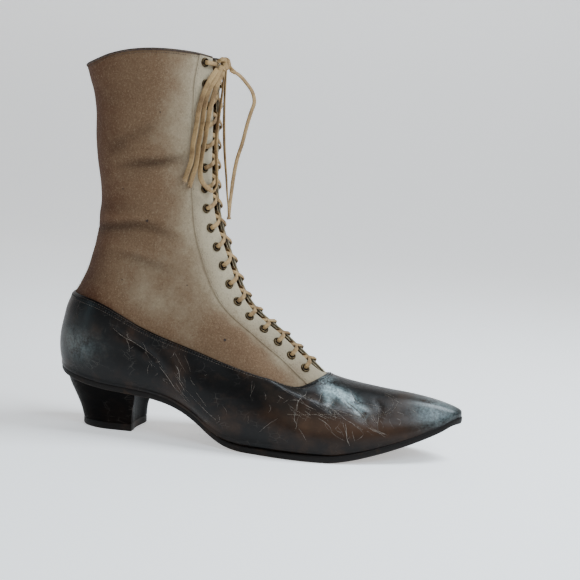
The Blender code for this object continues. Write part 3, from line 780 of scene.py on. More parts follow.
# Creases of the cloth: depth in millimetres, half width, and the line by level and angle
clothCreases = [
    {"depth": -1.3, "width": 3.2, "line": [(5.85, 1.2), (5.93, 1.55), (5.97, 1.9), (6.04, 2.15), (6.09, 2.36)]},
    {"depth": 0.8, "width": 4.5, "line": [(6.35, 1.3), (6.38, 1.6), (6.45, 1.9), (6.5, 2.2)]},
    {"depth": 0.7, "width": 4.5, "line": [(5.6, 1.3), (5.58, 1.7), (5.62, 2.1)]},
    {"depth": -1.2, "width": 3.6, "line": [(4.02, 0.2), (4.12, 0.7), (4.25, 1.1), (4.4, 1.45), (4.32, 1.75), (4.1, 1.98)]},
    {"depth": 0.9, "width": 4.2, "line": [(4.5, 0.2), (4.58, 0.8), (4.68, 1.3), (4.6, 1.65)]},
    {"depth": -0.8, "width": 5.0, "line": [(6.2, 0.9), (6.35, 1.3), (6.5, 1.62), (6.62, 1.87)]},
    {"depth": 0.6, "width": 5.0, "line": [(3.75, 0.5), (3.85, 1.1), (3.8, 1.7), (3.7, 2.1)]},
    {"depth": -0.6, "width": 3.4, "line": [(3.45, 1.0), (3.5, 1.4), (3.42, 1.9)]},
    {"depth": 0.7, "width": 7.0, "line": [(7.1, 0.5), (7.0, 1.0), (7.05, 1.5)]},
    {"depth": -0.9, "width": 3.4, "mirror": True, "line": [(5.7, 0.9), (5.8, 1.4), (5.95, 1.9), (6.0, 2.3)]},
    {"depth": -1.2, "width": 3.4, "mirror": True, "line": [(4.0, 0.15), (4.15, 0.6), (4.3, 1.1), (4.28, 1.6), (4.0, 2.1)]},
    {"depth": 0.9, "width": 4.4, "mirror": True, "line": [(4.5, 0.2), (4.62, 0.8), (4.7, 1.4), (4.6, 1.9)]},
    {"depth": -0.8, "width": 4.0, "mirror": True, "line": [(3.3, 0.8), (3.4, 1.3), (3.3, 1.9)]},
    {"depth": 0.7, "width": 6.0, "mirror": True, "line": [(6.9, 0.7), (6.8, 1.2), (6.9, 1.8)]},
]

clothShape = {
    "thickness": 1.0,
    "facingStep": 0.42,
    "seamDip": 0.22,
    "mainColumns": 84,
    "facingColumns": 30,
    "rows": 132,
    "bottom": 0.93,
}


def seamAngle(level):
    return float(lookUp(facingSeam, level))


def clothGrid(offset):
    columnsOut = np.linspace(0, 1, clothShape["mainColumns"])
    near = 1 - (1 - columnsOut) ** 1.0
    rows, forward, shade, bases, normals, proud = [], [], [], [], [], []
    levelsHere = np.concatenate([
        np.linspace(clothShape["bottom"], 1.3, 22)[:-1], np.linspace(1.3, topLevel, clothShape["rows"] - 21),
    ])
    for level in levelsHere:
        half = []
        for side in (-1, 1):
            seam, last = seamAngle(level), lastAngle(level, side)
            seam = min(seam, last - 0.05)
            facing = np.linspace(0, 1, clothShape["facingColumns"]) ** 1.25
            step = 0.012
            angles = np.concatenate([seam * near, [seam + step * 0.5], seam + step + (last - seam - step) * facing])
            lift = np.concatenate([
                -clothShape["seamDip"] * np.exp(-((seam - seam * near) / 0.03) ** 2), [0.0],
                np.full(len(facing), clothShape["facingStep"]),
            ])
            half.append((angles * side, lift))
        angles = np.concatenate([half[0][0][::-1], half[1][0][1:]])
        lift = np.concatenate([half[0][1][::-1], half[1][1][1:]])
        bases.append(skin(level, angles))
        normals.append(skinNormal(level, angles))
        proud.append(lift)
        seam = seamAngle(level)
        around = np.abs(angles)
        low = 0.42 * math.exp(-((level - 2.3) / 1.3) ** 2) * np.exp(-((around - 1.3) / 0.6) ** 2)
        soiled = 0.3 * math.exp(-((level - 1.6) / 0.9) ** 2) * np.exp(-((around - 2.2) / 0.35) ** 2)
        forward.append(np.clip(around / seam, 0, 1.2) ** 1.3 + low - soiled)
    bases, normals = np.array(bases), np.array(normals)
    dents = creaseDepth(bases, clothCreases)
    grid = bases + normals * (offset + np.array(proud) + dents)[..., None]
    # The third result is painted shade, darker in the creases' hollows
    return grid, np.array(forward), np.clip(-dents / 1.3, 0, 1)


def makeCloth(finish):
    grid, forward, shade = clothGrid(0.0)
    item = gridPiece("cloth_top", grid, finish, {"forward": forward, "shade": shade})
    thicken(item, clothShape["thickness"])
    return rideRoot(item, "cloth", "upper")


# Lining of drab twill inside the cloth, down to the insole
liningLook = {"light": linear(176, 158, 128), "dark": linear(118, 98, 72), "twill": 0.8}


def liningFinish():
    finish = Finish("twill_lining", Roughness=0.9)
    x, y, z = (finish.axis(i) for i in range(3))
    wave = finish.node("ShaderNodeMath", {"operation": "SINE"}, {0: (z + x * 0.6 + y * 0.6) * (2 * math.pi / (0.8 * mm))})
    stain = finish.noise(22, 4, 0.6).ramp(0.35, 0.75)
    colour = finish.mix(liningLook["light"], liningLook["dark"], stain * 0.7 + wave * 0.08)
    finish.feed("Base Color", colour)
    finish.bump(wave * 0.5 + finish.noise(1.2, 3), 0.15)
    return finish


def makeLining(finish):
    bases, normals = [], []
    for level in np.concatenate([np.linspace(0.0, 1.0, 16)[:-1], np.linspace(1.0, topLevel, 60)]):
        width = 55
        half = [np.linspace(0, lastAngle(level, side), width) * side for side in (-1, 1)]
        angles = np.concatenate([half[0][::-1], half[1][1:]])
        bases.append(skin(level, angles))
        normals.append(skinNormal(level, angles))
    bases, normals = np.array(bases), np.array(normals)
    dents = creaseDepth(bases, clothCreases)
    item = gridPiece("lining", bases + normals * (dents - 1.15)[..., None], finish)
    thicken(item, 0.65)
    return rideRoot(item, "insole_leather")


# ---- leather: old black polish with brown in places, crazed and scuffed, with a painted bluish highlight where the polish shines
leatherLook = {
    "black": linear(7, 6, 6),
    "brown": linear(70, 48, 33),
    # painted highlight: the bluish white of a reflected light, mixed into the colour
    "paintedHighlight": linear(186, 208, 210),
    "dust": linear(150, 142, 134),
    "grain": 0.75,
    "bump": 0.07,
}


def leatherFinish(name="old_leather", brownShare=1.0, shine=1.0):
    finish = Finish(name, Roughness=0.34, Coat_Roughness=0.2, Specular_IOR_Level=0.15 * shine)
    polishAndHighlight = finish.attribute("polishAndHighlight")
    broad = finish.noise(30, 4, 0.55)
    patch = finish.noise(8, 5, 0.6, twist=0.4)
    fine = finish.noise(1.4, 4, 0.65)
    grain = finish.cells(leatherLook["grain"])
    crack = finish.cells(2.6, stretch=(0.55, 1.0, 0.8))
    crazed = (1 - crack.ramp(0.0, 0.05)) * finish.noise(11, 3).ramp(0.55, 0.7)
    brownPatch = finish.attribute("brownPatch")
    # Brown from broad noise, from patches and from the brown patch along the lower side of the vamp
    brown = (broad.ramp(0.45, 0.7) * 0.32 + patch.ramp(0.5, 0.75) * 0.18 + brownPatch * 0.75) * brownShare
    colour = finish.mix(leatherLook["black"], leatherLook["brown"], brown.min(0.85))
    dusty = fine.ramp(0.62, 0.8) * patch.ramp(0.45, 0.7) * 0.12 + crazed * 0.1
    colour = finish.mix(colour, leatherLook["dust"], dusty.min(0.6))
    # Painted highlight: a bluish-white reflection painted into the base colour where the polish shines
    paintedHighlight = (polishAndHighlight * (patch.ramp(0.35, 0.62) * 0.6 + fine.ramp(0.4, 0.62) * 0.5)).min(1.0)
    colour = finish.mix(colour, leatherLook["paintedHighlight"], paintedHighlight * 0.85)
    finish.feed("Coat Weight", (0.04 * shine + polishAndHighlight * 0.7).min(1.0))
    finish.feed("Base Color", colour)
    finish.feed("Roughness", (0.26 + patch * 0.16 + fine.ramp(0.4, 0.8) * 0.14 + dusty * 0.5).min(0.85))
    finish.bump(grain.ramp(0.0, 0.3) * 0.35 + patch * 1.2 - crazed * 0.8 + fine * 0.2, leatherLook["bump"])
    return finish


vampShape = {"offset": 1.2, "thickness": 1.1, "rows": 60, "columns": 260, "edge": 0.045}

# Creases of the vamp and quarters, in the same form as the cloth's
vampCreases = [
    {"depth": -0.55, "width": 1.7, "line": [(0.93, 2.54), (0.74, 2.26), (0.61, 2.13), (0.45, 2.01)]},
    {"depth": -0.5, "width": 1.6, "line": [(0.89, 2.68), (0.82, 2.52), (0.65, 2.29)]},
    {"depth": -0.7, "width": 1.9, "line": [(0.83, 2.75), (0.7, 2.6), (0.56, 2.5), (0.43, 2.43), (0.3, 2.34)]},
    {"depth": 0.5, "width": 2.6, "line": [(0.9, 2.82), (0.76, 2.66), (0.64, 2.58), (0.5, 2.5), (0.4, 2.44)]},
    {"depth": -0.5, "width": 1.6, "line": [(0.79, 2.84), (0.67, 2.65), (0.6, 2.62)]},
    {"depth": -0.4, "width": 1.5, "line": [(0.78, 2.58), (0.62, 2.35), (0.47, 2.24)]},
    {"depth": -0.4, "width": 1.6, "line": [(0.33, 2.23), (0.2, 2.16), (0.09, 2.14)]},
    {"depth": -0.45, "width": 1.8, "line": [(0.6, 2.76), (0.46, 2.6), (0.34, 2.44), (0.2, 2.34)]},
    {"depth": -0.5, "width": 1.8, "line": [(0.77, 0.96), (0.72, 1.06), (0.68, 1.17), (0.6, 1.25), (0.44, 1.27), (0.27, 1.29)]},
    {"depth": -0.35, "width": 1.5, "line": [(0.9, 1.46), (0.78, 1.41), (0.69, 1.39), (0.48, 1.37)]},
    {"depth": 0.4, "width": 4.0, "line": [(0.85, 1.25), (0.7, 1.28), (0.5, 1.32)]},
    {"depth": -0.5, "width": 1.8, "mirror": True, "line": [(0.9, 2.5), (0.74, 2.3), (0.55, 2.12), (0.4, 2.05)]},
    {"depth": -0.6, "width": 1.9, "mirror": True, "line": [(0.85, 2.76), (0.7, 2.58), (0.52, 2.45), (0.35, 2.33)]},
    {"depth": 0.5, "width": 2.6, "mirror": True, "line": [(0.92, 2.72), (0.78, 2.55), (0.6, 2.4), (0.45, 2.3)]},
    {"depth": -0.4, "width": 1.6, "mirror": True, "line": [(0.7, 2.8), (0.6, 2.66), (0.45, 2.56)]},
    {"depth": -0.4, "width": 1.8, "mirror": True, "line": [(0.8, 1.1), (0.65, 1.2), (0.45, 1.25), (0.25, 1.28)]},
    {"depth": -0.4, "width": 1.6, "mirror": True, "line": [(0.85, 1.42), (0.65, 1.4), (0.5, 1.38)]},
]


# Where the old polish still shines, in the same form. These patches raise the coat and also paint a bluish highlight
# into the colour
polishAndHighlightPatches = [
    {"depth": 1.0, "width": 4.2, "line": [(0.96, 3.0), (0.93, 2.79), (0.7, 2.64), (0.44, 2.43)]},
    {"depth": 0.5, "width": 2.4, "line": [(0.9, 2.7), (0.72, 2.46), (0.56, 2.3)]},
    {"depth": 0.8, "width": 5.0, "mirror": True, "line": [(0.94, 2.9), (0.75, 2.68), (0.5, 2.5)]},
    {"depth": 0.16, "width": 9.0, "line": [(0.5, 0.3), (0.4, 0.55), (0.45, 0.8)]},
]


def makeVamp(finish):
    angles = np.linspace(-math.pi, math.pi, 2 * vampShape["columns"] + 1)
    inner = np.linspace(0, 1, vampShape["rows"] - 5) * (1 - vampShape["edge"])
    levelsHere = np.concatenate([inner, 1 - vampShape["edge"] * np.array([0.7, 0.42, 0.2, 0.06, 0])])
    bases, normals, lifts = [], [], []
    for level in levelsHere:
        base = skin(level, angles)
        if level == 0:
            base[:, 2] = soleTopAt(base[:, 0]) - 0.1
        bases.append(base)
        normals.append(skinNormal(min(level, 0.985), angles))
        rest = max(0.0, (level - (1 - vampShape["edge"])) / vampShape["edge"])
        lifts.append(vampShape["offset"] - 0.65 * rest ** 3)
    bases, normals = np.array(bases), np.array(normals)
    dents = creaseDepth(bases, vampCreases)
    grid = bases + normals * (np.array(lifts)[:, None] + dents)[..., None]
    # Brown patch along the lower side of the vamp
    brownPatch = np.exp(-((bases[..., 0] - 200) / 34) ** 2) * np.exp(-((bases[..., 2] - 22) / 7.5) ** 2)
    x, y, z = bases[..., 0], bases[..., 1], bases[..., 2]
    # Painted highlight on the toe. With the polished patches it also raises the coat
    toePolishAndHighlight = np.exp(-((x - 246) / 12) ** 2) * np.exp(-((z - 32) / 8) ** 2)
    polishAndHighlight = 0.3 * toePolishAndHighlight + creaseDepth(bases, polishAndHighlightPatches)
    item = gridPiece("vamp_leather", grid, finish, {"brownPatch": brownPatch, "polishAndHighlight": polishAndHighlight})
    thicken(item, vampShape["thickness"])
    return rideRoot(item, "black_leather", "vamp")


# Tongue of the same cloth behind the laces
tongueShape = {"offset": -4.4, "thickness": 1.2, "columns": 24, "rows": 70, "bottom": 0.93, "top": 7.93}
tongueWidths = [(0.93, 11), (1.6, 14), (3, 17), (8, 20)]


def makeTongue(finish):
    rows = []
    steps = np.linspace(0, 1, tongueShape["columns"])
    for level in np.linspace(tongueShape["bottom"], tongueShape["top"], tongueShape["rows"]):
        half = float(lookUp(tongueWidths, level))
        inner = math.pi - math.asin(half / frontWidth(level, 1)) * (1 - steps)
        outer = -math.pi + math.asin(half / frontWidth(level, -1)) * steps[1:]
        angles = np.concatenate([inner, outer])
        rows.append(skin(level, angles) + skinNormal(level, angles) * tongueShape["offset"])
    grid = np.array(rows)
    shape = grid.shape[:2]
    # Painted shade over the whole tongue, through the shade attribute
    item = gridPiece("tongue_cloth", grid, finish, {"forward": np.full(shape, 0.8), "shade": np.full(shape, 0.15)})
    thicken(item, tongueShape["thickness"])
    return rideRoot(item, "cloth", "tongue")


wool = clothFinish()
makeCloth(wool)
makeTongue(wool)
makeLining(liningFinish())
print("cloth top, tongue and lining made")
vampLeather = leatherFinish()
makeVamp(vampLeather)
print("vamp and quarters made")


# ---- sole: one thin leather sole with a dressed edge, and the built heel on it
soleLook = {
    "edge": linear(16, 12, 10),
    "brownPatch": linear(92, 66, 46),
    "tread": linear(88, 68, 52),
    "grime": linear(40, 32, 26),
}
soleShape = {"back": -0.4, "stations": 130, "inset": 3.2, "lanes": 9}


def soleFinish():
    finish = Finish("sole_leather", Roughness=0.5, Specular_IOR_Level=0.15)
    patch = finish.noise(12, 5, 0.6)
    fine = finish.noise(1.2, 4, 0.7)
    under = finish.attribute("under")
    rubbed = finish.attribute("rubbed")
    edge = finish.mix(soleLook["edge"], soleLook["brownPatch"], patch.ramp(0.55, 0.8) * 0.25 + fine.ramp(0.62, 0.8) * 0.2)
    tread = finish.mix(soleLook["grime"], soleLook["tread"], (patch.ramp(0.3, 0.65) * 0.6 + rubbed * 0.5).min(1.0))
    finish.feed("Base Color", finish.mix(edge, tread, under))
    finish.feed("Roughness", (0.42 + under * 0.25 + fine * 0.2).min(0.9))
    finish.bump(fine * 0.5 + patch, 0.12)
    return finish


def soleEdge(side):
    turn = np.linspace(0, math.pi, soleShape["stations"])
    share = (1 - np.cos(turn)) / 2
    x = soleShape["back"] + (soleLength - soleShape["back"]) * share
    factors = smooth(*columns(soleOutline), 0.0) * 0
    knots, values = columns(soleOutline)
    half = smooth(knots, values[:, 0 if side < 0 else 1], share) * np.sin(turn)
    y = middleLine(x) + side * half
    ways = np.stack([np.gradient(x), np.gradient(y)], axis=-1)
    ways /= np.linalg.norm(ways, axis=1, keepdims=True)
    outwards = np.stack([-ways[:, 1], ways[:, 0]], axis=-1) * side
    outwards[0], outwards[-1] = (-1, 0), (1, 0)
    return x, y, outwards


def makeSole(finish):
    profile = [(-3.2, 0.0), (-0.9, 0.0), (-0.35, -0.12), (-0.05, -0.5), (0.0, -1.2), (0.0, -2.6), (-0.12, -3.4),
               (-0.45, -4.05), (-1.0, -4.34), (-1.7, -4.4)]
    rows = []
    sides = {side: soleEdge(side) for side in (-1, 1)}
    for i in range(soleShape["stations"]):
        row = []
        for side in (-1, 1):
            x, y, outwards = sides[side]
            width = abs(sides[1][1][i] - sides[-1][1][i]) / 2
            part = []
            for inset, drop in profile:
                inset = max(inset, -0.92 * width) if 2 < i < soleShape["stations"] - 3 else inset
                px, py = x[i] + outwards[i, 0] * inset, y[i] + outwards[i, 1] * inset
                part.append((px, py, float(soleTopAt(x[i])) + drop))
            row.append(part)
        outer, inner = np.array(row[0]), np.array(row[1])
        lanes = np.linspace(0, 1, soleShape["lanes"])[1:-1, None]
        across = outer[-1] * (1 - lanes) + inner[-1] * lanes
        back = inner[0] * (1 - lanes) + outer[0] * lanes
        rows.append(np.concatenate([outer, across, inner[::-1], back]))
    grid = np.array(rows)
    count = grid.shape[1]
    faces = gridFaces(len(rows), count, wrapColumns=True)
    faces += [list(range(count)), [(len(rows) - 1) * count + i for i in reversed(range(count))]]
    item = newPiece("outsole_leather", grid.reshape(-1, 3), faces, finish)
    drop = soleTopAt(grid[..., 0]) - grid[..., 2]
    under = (drop > 4.2).astype(float)
    rubbed = np.exp(-((grid[..., 0] - 178) / 34) ** 2)
    for key, values in (("under", under), ("rubbed", rubbed)):
        item.data.attributes.new(key, "FLOAT", "POINT").data.foreach_set("value", values.ravel().astype(np.float32))
    work = bmesh.new()
    work.from_mesh(item.data)
    bmesh.ops.remove_doubles(work, verts=work.verts, dist=0.000005)
    bmesh.ops.recalc_face_normals(work, faces=work.faces)
    work.to_mesh(item.data)
    work.free()
    item.data.shade_smooth()
    item.data.set_sharp_from_angle(angle=math.radians(50))
    return rideRoot(item, "sole_leather", "outsole")


# Heel sections from the floor up: share of the height, back x, breast x, half width
heelSections = [
    (0.00, 15.0, 53.2, 14.6), (0.25, 12.8, 53.4, 15.0), (0.50, 9.4, 54.2, 16.0), (0.78, 5.0, 57.2, 18.4),
    (1.00, 2.4, 64.0, 20.6),
]
heelShape = {
    "topPiece": 5.0, "arcShare": 0.6, "narrowing": 0.045, "breastCentre": 91.8, "breastRadius": 40.0,
    "levels": 22, "arcPoints": 40, "sidePoints": 14, "breastPoints": 17,
}


# Outline from one breast corner round the back to the other, then along the hollow breast
def heelOutline(back, breast, half):
    arc = heelShape["arcShare"] * (breast - back)
    side = [
        (breast - (breast - back - arc) * part, half * (1 - heelShape["narrowing"] * (1 - part)))
        for part in np.linspace(0, 1, heelShape["sidePoints"], endpoint=False)
    ]
    turn = np.linspace(0, math.pi / 2, heelShape["arcPoints"])
    curve = [(back + arc * (1 - math.sin(a)), half * math.cos(a)) for a in turn]
    line = np.array(side + curve)
    limit = heelShape["breastCentre"] - np.sqrt(heelShape["breastRadius"] ** 2 - line[:, 1] ** 2)
    line[:, 0] = np.minimum(line[:, 0], limit)
    corner = line[0]
    face = []
    for y in np.linspace(corner[1], -corner[1], heelShape["breastPoints"])[1:-1]:
        reach = heelShape["breastCentre"] - math.sqrt(heelShape["breastRadius"] ** 2 - y * y)
        face.append((min(breast, reach), y))
    outer = line * np.array([1, -1])
    return np.concatenate([outer, line[::-1][1:], face])


def makeHeel(finish):
    shares, values = columns(heelSections)
    floor = heelShape["topPiece"] + 0.1
    rows = []
    for share in np.linspace(0, 1, heelShape["levels"]):
        back, breast, half = smooth(shares, values, share)
        outline = heelOutline(back, breast, half)
        top = soleTopAt(outline[:, 0]) - soleThickness - 0.1
        rows.append(np.column_stack([outline, floor + (top - floor) * share]))
    item = capped("heel_block", np.array(rows), finish)
    return rideRoot(item, "black_leather", "heel")


def capped(name, grid, finish):
    rows, count = grid.shape[:2]
    faces = gridFaces(rows, count, wrapColumns=True)
    faces += [list(range(count)), [(rows - 1) * count + i for i in reversed(range(count))]]
    item = newPiece(name, grid.reshape(-1, 3), faces, finish)
    work = bmesh.new()
    work.from_mesh(item.data)
    bmesh.ops.recalc_face_normals(work, faces=work.faces)
    work.to_mesh(item.data)
    work.free()
    item.data.shade_smooth()
    item.data.set_sharp_from_angle(angle=math.radians(35))
    return item


def makeTopPiece(finish):
    _, back, breast, half = heelSections[0]
    rows = []
    for inset, height in ((1.2, 0.0), (0.5, 0.15), (0.1, 0.6), (0.0, 1.4), (0.0, 4.4), (0.25, 4.75), (0.6, 4.85)):
        outline = heelOutline(back + inset, breast - inset * 0.5, half - inset * 0.6)
        rows.append(np.column_stack([outline, np.full(len(outline), height)]))
    item = capped("heel_top_piece", np.array(rows), finish)
    return rideRoot(item, "sole_leather", "top_piece")


solePolish = soleFinish()
makeSole(solePolish)
makeHeel(leatherFinish("heel_leather", 0.15, 0.15))
makeTopPiece(solePolish)
print("sole and heel made")


# ---- eyelets: rolled brass rings, tarnished
eyeletShape = {
    "count": 18, "inset": 6.2, "ease": 0.056, "first": 4.2, "last": 9.0, "samples": 160,
    "bore": 1.75, "radius": 3.0, "sides": 28,
}
throatGapStart = 1.05


def sourceGap(level):
    return float(lookUp(throatGap, level))


def eyeletAngle(level, side):
    return math.pi - math.asin((sourceGap(level) + eyeletShape["inset"]) / frontWidth(level, side))


def eyeletLevels():
    samples = np.linspace(topLevel, throatBottom, eyeletShape["samples"])
    points = np.array([skin(level, [-eyeletAngle(level, -1)])[0] for level in samples])
    along = np.concatenate([[0], np.cumsum(np.linalg.norm(np.diff(points, axis=0), axis=1))])
    part = np.linspace(0, 1, eyeletShape["count"])
    part = part + eyeletShape["ease"] * part * (1 - part)
    wanted = eyeletShape["first"] + (along[-1] - eyeletShape["last"] - eyeletShape["first"]) * part
    return np.interp(wanted, along, samples)


def metalFinish():
    finish = Finish("eyelet_metal", Metallic=1.0, Roughness=0.42)
    patina = finish.noise(1.6, 4, 0.6)
    colour = finish.mix(linear(84, 70, 50), linear(36, 29, 22), patina.ramp(0.4, 0.65))
    finish.feed("Base Color", colour)
    finish.feed("Roughness", 0.34 + patina * 0.35)
    finish.bump(patina, 0.05)
    return finish


def eyeletTurns():
    turns = []
    for side in (-1, 1):
        for level in eyeletLevels():
            angle = [eyeletAngle(level, side) * side]
            place, normal = skin(level, angle)[0], skinNormal(level, angle)[0]
            across = np.cross((0, 0, 1.0), normal)
            across /= np.linalg.norm(across)
            turns.append((place, across, np.cross(normal, across), normal))
    return turns


def makeEyelets(finish):
    ring = [(3.0, 0.5), (2.9, 0.85), (2.6, 1.12), (2.25, 1.2), (1.95, 1.08), (1.78, 0.8), (1.75, 0.3), (1.75, -2.2),
            (2.5, -2.35), (2.5, -2.1), (1.98, -1.95), (1.98, 0.3), (2.4, 0.42)]
    turn = np.linspace(0, 2 * math.pi, eyeletShape["sides"], endpoint=False)
    shapes, boreShadows = [], []
    for place, across, upright, normal in eyeletTurns():
        rings = np.array([
            [place + across * r * math.cos(a) + upright * r * math.sin(a) + normal * height for a in turn]
            for r, height in ring
        ])
        faces = gridFaces(len(ring), len(turn), wrapRows=True, wrapColumns=True)
        shapes.append((rings.reshape(-1, 3), faces))
        # Dark discs in the rings' holes: painted shadow in the bores
        disc = np.array([place + (across * math.cos(a) + upright * math.sin(a)) * 1.8 + normal * 0.62 for a in turn])
        under = disc - normal * 0.3
        sides = [[i, (i + 1) % len(turn), (i + 1) % len(turn) + len(turn), i + len(turn)] for i in range(len(turn))]
        cap = [list(range(len(turn)))[::-1], [len(turn) + i for i in range(len(turn))]]
        boreShadows.append((np.concatenate([under, disc]), sides + cap))
    bore = Finish("eyelet_shadow", Roughness=0.95, Specular_IOR_Level=0.05)
    bore.shader.inputs["Base Color"].default_value = linear(14, 10, 8)
    rideRoot(newPiece("eyelet_bore_shadows", *joined(boreShadows), bore, False), "eyelet_metal")
    item = newPiece("eyelets", *joined(shapes), finish)
    nodes = [f"eyelet_{side}_{i + 1:02d}" for side in ("outer", "inner") for i in range(eyeletShape["count"])]
    return rideRoot(item, "eyelet_metal", *nodes)


makeEyelets(metalFinish())
print("eyelets set")


# ---- the lacing: two strands that cross at each step, from the bar at the bottom up to the knot
laceUnder, laceOverEyelet, laceOverEdge = -2.55, 2.15, 1.3
lacingShape = {
    "crossing": -0.2, "crossingStep": 0.2, "edgeTuck": 0.9, "rimReach": 3.2, "barOverlap": 0.7,
    "knotClearance": 3.4, "topLift": 0.8, "width": 2.7,
}


def throatPoint(level, across, offset):
    side = -1 if across < 0 else 1
    angle = [(math.pi - math.asin(min(1.0, abs(across) / frontWidth(level, side)))) * side]
    normal = skinNormal(level, angle)[0]
    return skin(level, angle)[0] + normal * offset, normal


def diagonal(low, high, side):
    crossing = lacingShape["crossing"] + lacingShape["crossingStep"] * side
    start = sourceGap(low) + eyeletShape["inset"]
    stations = [
        (0, start, laceUnder), (0, start, -0.3), (0.03, start - 0.5, laceOverEyelet - 0.35),
        (0.1, start - 2.2, laceOverEyelet), (0.24, sourceGap(low) + 0.4, laceOverEdge), (0.5, 0, crossing),
        (0.7, 0.4 - sourceGap(high), -1.2), (0.78, -1.4 - sourceGap(high), laceUnder + 0.2),
    ]
    return [throatPoint(low + (high - low) * share, side * across, offset) for share, across, offset in stations]


def laceHalf(side):
    levelsUp = eyeletLevels()[::-1]
    depth = laceUnder - lacingShape["crossingStep"] * (1 + side)
    bottom = sourceGap(levelsUp[0]) + eyeletShape["inset"]
    stations = []
    for across in (-side * lacingShape["barOverlap"], side * bottom / 2):
        stations.append((throatPoint(levelsUp[0], across, depth)[0], np.array([-0.6, 0, 0.8])))
    for low, high in zip(levelsUp, levelsUp[1:]):
        way = diagonal(low, high, side)
        along = way[-1][0] - way[1][0]
        for place, normal in way:
            stations.append((place, np.cross(along, normal) * side))
        side = -side
    top = levelsUp[-1]
    across = sourceGap(top) + eyeletShape["inset"]
    finish = [
        (across, laceUnder), (across, -0.3), (across - 0.5, laceOverEyelet - 0.35), (across - 2.2, laceOverEyelet),
        (lacingShape["knotClearance"], laceOverEdge + lacingShape["topLift"]),
    ]
    for reach, offset in finish:
        stations.append((throatPoint(top, side * reach, offset)[0], np.array([0, 0, 1.0])))
    return stations


def makeLacing(finish):
    shapes, alongs, acrosses = [], [], []
    section = np.array(braidSection(lacingShape["width"], 0.9, 4))
    for side in (-1, 1):
        stations = laceHalf(side)
        points = np.array([place for place, _ in stations])
        wides = np.array([wide / np.linalg.norm(wide) for _, wide in stations])
        route = np.concatenate([points, wides], axis=1)
        fine, _ = evenPoints(route, 0.7)
        shapes.append(sweep(fine[:, :3], fine[:, 3:], section))
        lengths = np.concatenate([[0], np.cumsum(np.linalg.norm(np.diff(fine[:, :3], axis=0), axis=1))])
        alongs.append(np.repeat(lengths, len(section)))
        acrosses.append(np.tile(section[:, 0], len(fine)))
    item = newPiece("lacing_braid", *joined(shapes), finish)
    for key, values in (("along", alongs), ("across", acrosses)):
        layer = item.data.attributes.new(key, "FLOAT", "POINT")
        layer.data.foreach_set("value", np.concatenate(values).astype(np.float32))
    return rideRoot(item, "lace_braid", "lacing")


makeLacing(braid)
print("lacing made")


# ---- stitches, pinholes and edges
def threadFinish(name, colour, dark):
    finish = Finish(name, Roughness=0.8)
    finish.feed("Base Color", finish.mix(colour, dark, finish.noise(1.5, 3).ramp(0.35, 0.7)))
    finish.bump(finish.noise(0.3, 2), 0.05)
    return finish


stitchRows = {"pitch": 1.55, "length": 1.15, "radius": 0.17}


def makeFoxingStitches(finish):
    shapes = []
    for below, offset in ((1.1, 1.12), (4.0, 1.25)):
        places, normals = edgePath(1.0, below, offset, 1.0, 0.5)
        shapes.append(stitchShapes(places, normals, stitchRows["pitch"], stitchRows["length"], stitchRows["radius"]))
    return rideRoot(newPiece("foxing_stitches", *joined(shapes), finish), "black_leather")


def makeFacingStitches(finish):
    shapes = []
    for mirror in (False, True):
        line = [(level, angle + 0.04) for level, angle in facingSeam if level >= 1.0]
        places, normals = skinPath(line, clothShape["facingStep"] + 0.05, 0.5, mirror)
        shapes.append(stitchShapes(places, normals, 1.5, 1.1, 0.16))
    return rideRoot(newPiece("facing_stitches", *joined(shapes), finish), "cloth")


# Perforations between the two rows of the foxing, as small dark cups
def makePinholes(finish):
    places, normals = edgePath(1.0, 2.55, 1.24, 1.0, 0.5)
    cups = stitchShapes(places, normals, 2.3, 0.95, 0.36, 8)
    return rideRoot(newPiece("foxing_pinholes", *cups, finish), "black_leather")


# Ornamental line on the vamp: two rows that run forward, round a tongue-shaped tip and over the ridge
ornamentLines = {
    "long": [(0.47, 1.98), (0.484, 2.063), (0.497, 2.144), (0.497, 2.229), (0.491, 2.301), (0.465, 2.364), (0.434, 2.422),
             (0.409, 2.481), (0.394, 2.539), (0.396, 2.607), (0.428, 2.701), (0.465, 2.787), (0.509, 2.854),
             (0.566, 2.912), (0.616, 2.944)],
    "short": [(0.45, 2.44), (0.424, 2.5), (0.415, 2.562), (0.428, 2.629), (0.459, 2.715), (0.497, 2.791), (0.553, 2.863),
              (0.6, 2.895)],
}


def makeOrnament(finish):
    shapes = []
    for line in ornamentLines.values():
        for mirror in (False, True):
            places, normals = skinPath(line, vampShape["offset"] + 0.02, 0.4, mirror)
            shapes.append(stitchShapes(places, normals, 1.15, 0.7, 0.15))
    return rideRoot(newPiece("vamp_ornament", *joined(shapes), finish), "black_leather")


# Flat strip with pointed ends that lies on the skin
def ribbonShape(places, normals, width, height):
    count = len(places)
    taper = np.sin(np.linspace(0.05, math.pi - 0.05, count))[:, None] ** 0.6
    travels = np.gradient(places, axis=0)
    travels /= np.linalg.norm(travels, axis=1, keepdims=True)
    wides = np.cross(normals, travels)
    corners = ((-0.5, 0), (0, -1), (0.5, 0), (0, 1))
    rings = [places + wides * (a * width) * taper + normals * (b * height) * taper for a, b in corners]
    grid = np.stack(rings, axis=1)
    faces = gridFaces(count, 4, wrapColumns=True)
    faces += [[0, 1, 2, 3], [4 * count - 1, 4 * count - 2, 4 * count - 3, 4 * count - 4]]
    return grid.reshape(-1, 3), faces


